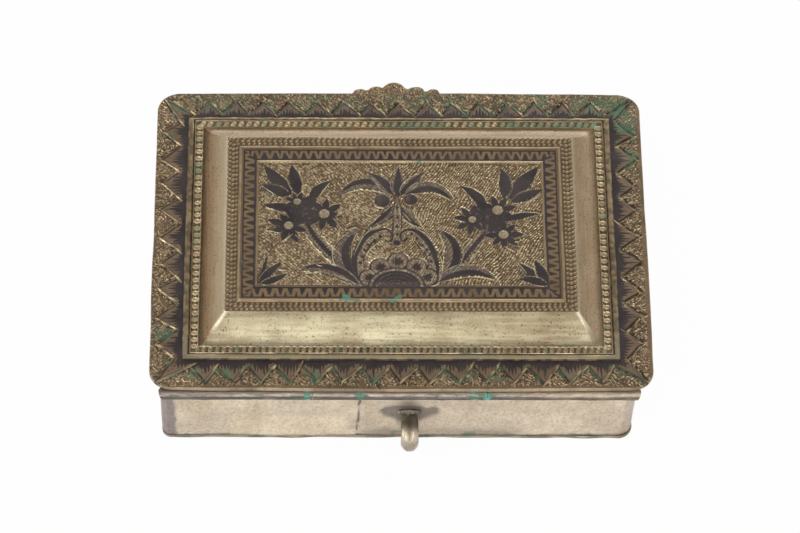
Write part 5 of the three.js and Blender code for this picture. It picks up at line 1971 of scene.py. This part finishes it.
    def knuckle(self, name: str, start: float, end: float, lean_start: float, lean_end: float) -> None:
        """Roll one knuckle of the hinge from sheet, with its leaf.

        Args:
            name: Name of the knuckle. The middle one's leaf goes up to the lid, the others' to the wall.
            start: Where it begins along X.
            end: Where it ends.
            lean_start: How far its first end leans in at the bottom.
            lean_end: How far its last end leans in at the bottom.
        """
        to_lid = name == "knuckle_middle"
        across, around = round((end - start) / 0.2), 44
        u, v = grid_points(across, around)
        angle = 2 * math.pi * v
        radius = self.hinge_radius
        leaf = math.pi / 2 if to_lid else 0.0
        offset = (angle - leaf + math.pi) % (2 * math.pi) - math.pi
        # The barrel stands out where its sheet runs off into the leaf.
        flat, ease, most = 1.22, 1.02, 1.3
        leaving = np.minimum(radius * flat / np.cos(offset) / ease, radius * most)
        reach = np.where(np.abs(offset) < 0.5, leaving, radius)
        along = start + (end - start) * u
        wobble = waver(along, angle * 2, 4.0, 170, 0.1) + waver(along, angle * 2, 1.1, 171, 0.05)
        reach = reach + wobble - 0.05
        y = self.hinge_y + reach * np.cos(angle)
        z = self.hinge_z + reach * np.sin(angle)
        z = np.minimum(z, self.height - 0.02) if to_lid else z
        y = np.minimum(y, -self.depth / 2 - 0.02)
        drop = (radius - (z - self.hinge_z)) / (2 * radius)
        along = along + lean_start * drop * (1 - u) - lean_end * drop * u
        piece = lay_grid(name, across, around, along - self.shift, y, z)
        ragged = 0.6 * clouds(along / 4.5, angle * 2.2, 0.5, 172)
        ragged = ragged + 0.4 * clouds(along / 2.5, angle * 3.0, 0.3, 173)
        under = step(angle, 0.8 * math.pi, 0.9 * math.pi)
        top = np.exp(-((angle - 0.52 * math.pi) ** 2) / 0.02)
        crust = np.zeros(u.shape)
        for place, reach_mm, strength in self.green_patches:
            crust = np.maximum(crust, strength * np.exp(-(((along - place) / reach_mm) ** 2)))
        belt = 0.5 + 0.5 * np.exp(-(((angle / math.pi - 0.8) / 0.1) ** 2))
        belt = np.maximum(belt, step(crust, 0.6, 0.9))
        green = crust * (0.45 + 0.5 * step(ragged, 0.3, 0.65)) * belt
        clean_end = 1 - 0.8 * step(along, 20.0, 28.0)
        green = np.maximum(green, 0.62 * belt * step(ragged, 0.35, 0.65) * clean_end)
        # The barrel gets painted shade on its lower half and along its top under the lid's rim, with a
        # lighter painted line along its front.
        ridge = np.exp(-((angle - 0.95 * math.pi) ** 2) / 0.008)
        grime = np.clip(0.75 * under - 0.4 * ridge + 0.35 * top + 0.3 * step(ragged, 0.3, 0.6), 0, 0.92)
        warm = step(along, 17.0, 27.0)
        pale = 0.35 * warm * (1 - under)
        join_seams(piece, {"grime": grime, "verdigris": green, "violet": 0.6 - 0.4 * warm, "pale": pale})
        finish_piece(piece, self.wall_finish, "lid" if to_lid else "box", ["hinge_" + name])

    def hinge(self) -> None:
        """Build the three knuckles of the hinge."""
        half, inner, gap, upright = self.width / 2, self.middle_half, 0.06, 0.03
        self.knuckle("knuckle_left", -half, -inner - gap, self.slant, upright)
        self.knuckle("knuckle_right", inner + gap, half, upright, self.slant)
        self.knuckle("knuckle_middle", -inner, inner, 0.0, 0.0)

    def loop(self) -> None:
        """Bend the strap of the hanging loop, and lay its solder."""
        centre = (self.loop_top + self.loop_bottom) / 2
        rise = (self.loop_top - self.loop_bottom) / 2 - self.loop_thickness / 2
        reach = self.loop_reach - self.loop_thickness / 2
        steps, around = 56, 28
        t, v = grid_points(steps, around)
        pull = reach * 4 / 3
        low_y = 3 * t * (1 - t) ** 2 * pull + 3 * t * t * (1 - t) * pull
        path_y = -self.depth / 2 + 0.35 - low_y
        path_z = centre + rise * ((t**3 + 3 * t * t * (1 - t)) - ((1 - t) ** 3 + 3 * t * (1 - t) ** 2))
        d_y = -(3 * pull * (1 - 2 * t))
        d_z = rise * (6 * t * (1 - t)) * 2
        length = np.hypot(d_y, d_z)
        out_y, out_z = -d_z / length, d_y / length
        angle = 2 * math.pi * v
        across = np.cos(angle)
        up = np.sin(angle)
        half_width = self.loop_width / 2 * (1 - 0.12 * np.abs(2 * t - 1) ** 3)
        side = np.sign(across) * np.abs(across) ** 0.75 * half_width
        over, under = 0.5 * self.loop_thickness, 0.36 * self.loop_thickness
        thick = np.where(up > 0, over * np.abs(up) ** 0.8, -under * np.abs(up) ** 0.7)
        groove = 0.12 * hump(side, 0.0, 0.5) * (up > 0)
        # At its turn the strap is hammered round, so that its sides fall back.
        dome = 1.3 * (np.abs(side) / (self.loop_width / 2)) ** 2.2 * hump(t, 0.45, 0.22)
        thick = thick - groove - dome + waver(side * 3, t * 20, 2.0, 180, 0.05)
        y, z = path_y + out_y * thick, path_z + out_z * thick
        strap = lay_grid("loop_strap", steps, around, self.loop_x + side, y, z)
        root = step(t + waver(side * 2, t * 20, 1.0, 182, 0.06), 0.76, 0.88)
        # The inner face and the middle groove get painted shade; the strap is darker near its upper root and
        # its lower end.
        groove_shade = 0.3 * hump(side, 0.0, 0.5) * (up > 0) * step(t, 0.6, 0.72)
        grime = 0.72 * root + 0.35 * (up < 0) + groove_shade
        grime = grime + 0.3 * fall(t, 0.04, 0.14) + 0.15 * step(clouds(side * 2, t * 20, 1.5, 181), 0.5, 0.8)
        # Two painted highlights on the strap's front, one on each side of the groove.
        shine = 0.9 * hump(np.abs(side), 0.95, 0.34) * (up > 0) * hump(t, 0.74, 0.07)
        violet = 0.22 * step(t, 0.1, 0.3) * fall(t, 0.6, 0.7)
        join_seams(strap, {"grime": np.clip(grime, 0, 0.9), "cut": shine, "violet": violet})
        finish_piece(strap, self.strap_finish, "box", ["hanging_loop"])

    def solder(self) -> None:
        """Build the rough solder that holds the loop's upper root."""
        set_down()
        bpy.ops.mesh.primitive_uv_sphere_add(segments=48, ring_count=24, radius=MM)
        lump = bpy.context.active_object
        lump.name = "solder"
        bpy.ops.object.mode_set(mode="EDIT")
        bpy.ops.mesh.select_all(action="SELECT")
        bpy.ops.transform.resize(value=(2.2, 0.34, 0.8))
        bpy.ops.transform.vertex_random(offset=0.00012, uniform=0.0, normal=1.0, seed=5)
        bpy.ops.mesh.vertices_smooth(factor=0.5, repeat=1)
        place = (self.loop_x * MM, -(self.depth / 2 + 0.02) * MM, (self.loop_top + 0.35) * MM)
        bpy.ops.transform.translate(value=place)
        bpy.ops.object.mode_set(mode="OBJECT")
        points = np.array([v.co for v in lump.data.vertices]) / MM
        specks = step(clouds(points[:, 0], points[:, 2], 0.45, 190), 0.6, 0.85)
        dirt_and_shade = 0.62 * (1 - specks) + 0.25 * fall(points[:, 2], self.loop_top + 0.2, self.loop_top + 0.9)
        paint(lump, {"grime": dirt_and_shade, "cut": 0.5 * specks})
        finish_piece(lump, self.strap_finish, "box", (), 80)

    def build(self) -> None:
        """Build and dress every piece of the body."""
        self.wall_strip()
        self.bottom_sheet()
        self.hinge()
        self.loop()
        self.solder()


# Studio


@dataclass
class Studio:
    """White table, soft light and the camera, which looks from the hinge's side."""

    lens_mm: float = 173.565
    distance_mm: float = 736.7
    elevation_deg: float = 55.342
    azimuth_deg: float = -1.884
    roll_deg: float = 1.686
    target_mm: tuple[float, float, float] = (-0.107, -6.62, 19.6)
    floor_size_mm: float = 2400.0
    horizon: float = 0.95  # strength of the light from the white sweep at the horizon
    sky: float = 0.42  # strength of the light from above

    def place_camera(self) -> None:
        """Set the camera where the photograph was taken from."""
        elevation = math.radians(self.elevation_deg)
        azimuth = math.radians(self.azimuth_deg)
        roll = math.radians(self.roll_deg)
        level = math.cos(elevation)
        back = Vector((math.sin(azimuth) * level, -math.cos(azimuth) * level, math.sin(elevation)))
        right = (-back).cross(Vector((0, 0, 1))).normalized()
        up = right.cross(-back).normalized()
        image_right = right * math.cos(roll) + up * math.sin(roll)
        image_up = -right * math.sin(roll) + up * math.cos(roll)
        turn = Matrix((image_right, image_up, back)).transposed().to_4x4()
        place = (Vector(self.target_mm) + back * self.distance_mm) * MM
        data = bpy.data.cameras.new("camera")
        data.lens = self.lens_mm
        data.sensor_width = 36.0
        data.sensor_fit = "HORIZONTAL"
        data.clip_start = 0.01
        data.clip_end = 20.0
        camera = bpy.data.objects.new("camera", data)
        camera.matrix_world = Matrix.Translation(place) @ turn
        bpy.context.scene.collection.objects.link(camera)
        bpy.context.scene.camera = camera

    def lay_floor(self) -> None:
        """Lay the white table under the box."""
        set_down()
        bpy.ops.mesh.primitive_plane_add(size=self.floor_size_mm * MM, location=(0, 0, -0.00002))
        floor = bpy.context.active_object
        floor.name = "floor"
        material = bpy.data.materials.new("white_table")
        material.use_nodes = True
        tree = material.node_tree
        tree.nodes.clear()
        paper = add_node(tree, "BsdfDiffuse", {"Color": linear("#F4F4F2")})
        lit = add_node(tree, "Emission", {"Color": linear("#FFFFFF"), "Strength": 1.0})
        ray = add_node(tree, "LightPath").outputs
        links = {0: ray["Is Camera Ray"], 1: ray["Is Glossy Ray"]}
        seen = add_node(tree, "Math", {"operation": "ADD"}, links)
        links = {0: seen.outputs[0], 1: ray["Is Transmission Ray"]}
        passed = add_node(tree, "Math", {"operation": "ADD"}, links)
        share = add_node(tree, "Math", {"operation": "MULTIPLY", 1: 0.965}, {0: passed.outputs[0]})
        links = {0: share.outputs[0], 1: paper.outputs[0], 2: lit.outputs[0]}
        surface = add_node(tree, "MixShader", None, links)
        add_node(tree, "OutputMaterial", None, {"Surface": surface.outputs[0]})
        floor.data.materials.append(material)

    def light(self) -> None:
        """Set the even sky and the lamps."""
        world = bpy.data.worlds.new("studio")
        bpy.context.scene.world = world
        world.use_nodes = True
        tree = world.node_tree
        tree.nodes.clear()
        # White sweep at the horizon, a dimmer room above: the light that the metal mirrors.
        direction = add_node(tree, "TexCoord").outputs["Generated"]
        up = add_node(tree, "SeparateXYZ", None, {0: direction}).outputs["Z"]
        levels = {1: 0.12, 2: 0.7, 3: self.horizon, 4: self.sky}
        level = add_node(tree, "MapRange", levels, {0: up}).outputs[0]
        room = add_node(tree, "Background", {"Color": linear("#FFFFFF")}, {"Strength": level})
        add_node(tree, "OutputWorld", None, {"Surface": room.outputs[0]})
        self.lamp("front", (-0.1, -0.85, 0.75), 0.9, 4.2)
        self.lamp("left", (-0.8, -0.25, 0.5), 0.4, 1.6)
        self.lamp("back", (0.2, 0.95, 0.3), 0.6, 3.0)

    def lamp(self, name: str, place: tuple[float, float, float], size: float, watts: float) -> None:
        """Hang a square soft lamp that faces the box.

        Args:
            name: Name of the lamp.
            place: Where it hangs, in metres.
            size: Its side, in metres.
            watts: Its power.
        """
        data = bpy.data.lights.new(name, "AREA")
        data.size = size
        data.energy = watts
        lamp = bpy.data.objects.new(name, data)
        turn = (-Vector(place)).to_track_quat("-Z", "Y").to_matrix().to_4x4()
        lamp.matrix_world = Matrix.Translation(Vector(place)) @ turn
        bpy.context.scene.collection.objects.link(lamp)

    def build(self) -> None:
        """Set up the camera, the table and the light."""
        bpy.context.scene.view_settings.view_transform = "Standard"
        self.place_camera()
        self.lay_floor()
        self.light()


def dress_nodes(finishes: dict[str, Finish], usual: Finish) -> None:
    """Give the CAD nodes their finishes.

    Args:
        finishes: Finishes by node name.
        usual: Finish of every other node.
    """
    for name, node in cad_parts.items():
        node.data.materials.clear()
        node.data.materials.append(finishes.get(name, usual))
        log.info("node %s: %s", name, "replaced" if node.hide_render else "shown")


def main() -> None:
    """Build the studio and the box, and report each piece."""
    logging.basicConfig(level=logging.INFO, format="%(name)s: %(message)s")
    set_down()
    Studio().build()
    # Engraved rim: matt, yellow-brown from the brass under the worn silvering.
    rim = SilveredBrass(
        "engraved_silvered_brass", "#A68D70", "#80684E", dirt_and_shade="#36291F", bright="#EDD3A2", pale="#C2AC8C"
    ).material()
    # Punched panel: darker in the dents, and the graver's cuts get pale yellow painted highlights.
    panel = SilveredBrass(
        "punched_silvered_brass", "#A88E6C", "#80684C", dirt_and_shade="#30261C", bright="#E9D9B0"
    ).material()
    # Embossed cove: rubbed smooth, so it is the palest and shiniest part of the lid.
    cove = SilveredBrass(
        "embossed_silvered_brass",
        "#BDB494",
        "#A89674",
        dirt_and_shade="#5A4026",
        cloud_mm=9.0,
        speckle=0.5,
        pit_mm=0.4,
        metal=0.8,
        pale="#D6BCA0",
    ).material()
    # Drawn wires and fillets: a soft warm shine, with painted highlights on their ridges.
    plain = SilveredBrass("cast_silvered_brass", "#CAB28A", "#A08664", pale="#CDBB96").material()
    # Rolled wall: nearly matt, pale grey-cream with fine grain.
    wall = SilveredBrass(
        "wall_silvered_brass", "#F6E6CC", "#D8C4A8", cloud_mm=8.0, speckle=0.4, grain=0.6, pit_mm=0.3
    ).material()
    # Strap that a cord or finger rubs: the brightest metal.
    strap = SilveredBrass("rubbed_brass_strap", "#DDD0B8", "#A89880", roughness=0.2).material()
    # Drawn iron pin: dull grey with rust-brown clouds.
    iron = SilveredBrass("drawn_iron_pin", "#77706A", "#4C4038", roughness=0.45).material()
    # Inside of the lid, never silvered: olive-yellow and dull.
    inside = SilveredBrass("unpolished_brass", "#A89468", "#7C6846", roughness=0.45).material()
    Lid(rim, panel, cove, plain).build()
    Body(wall, strap).build()
    dress_nodes({"hinge_pin": iron, "lid_bezel": inside}, plain)


if __name__ == "__main__":
    main()
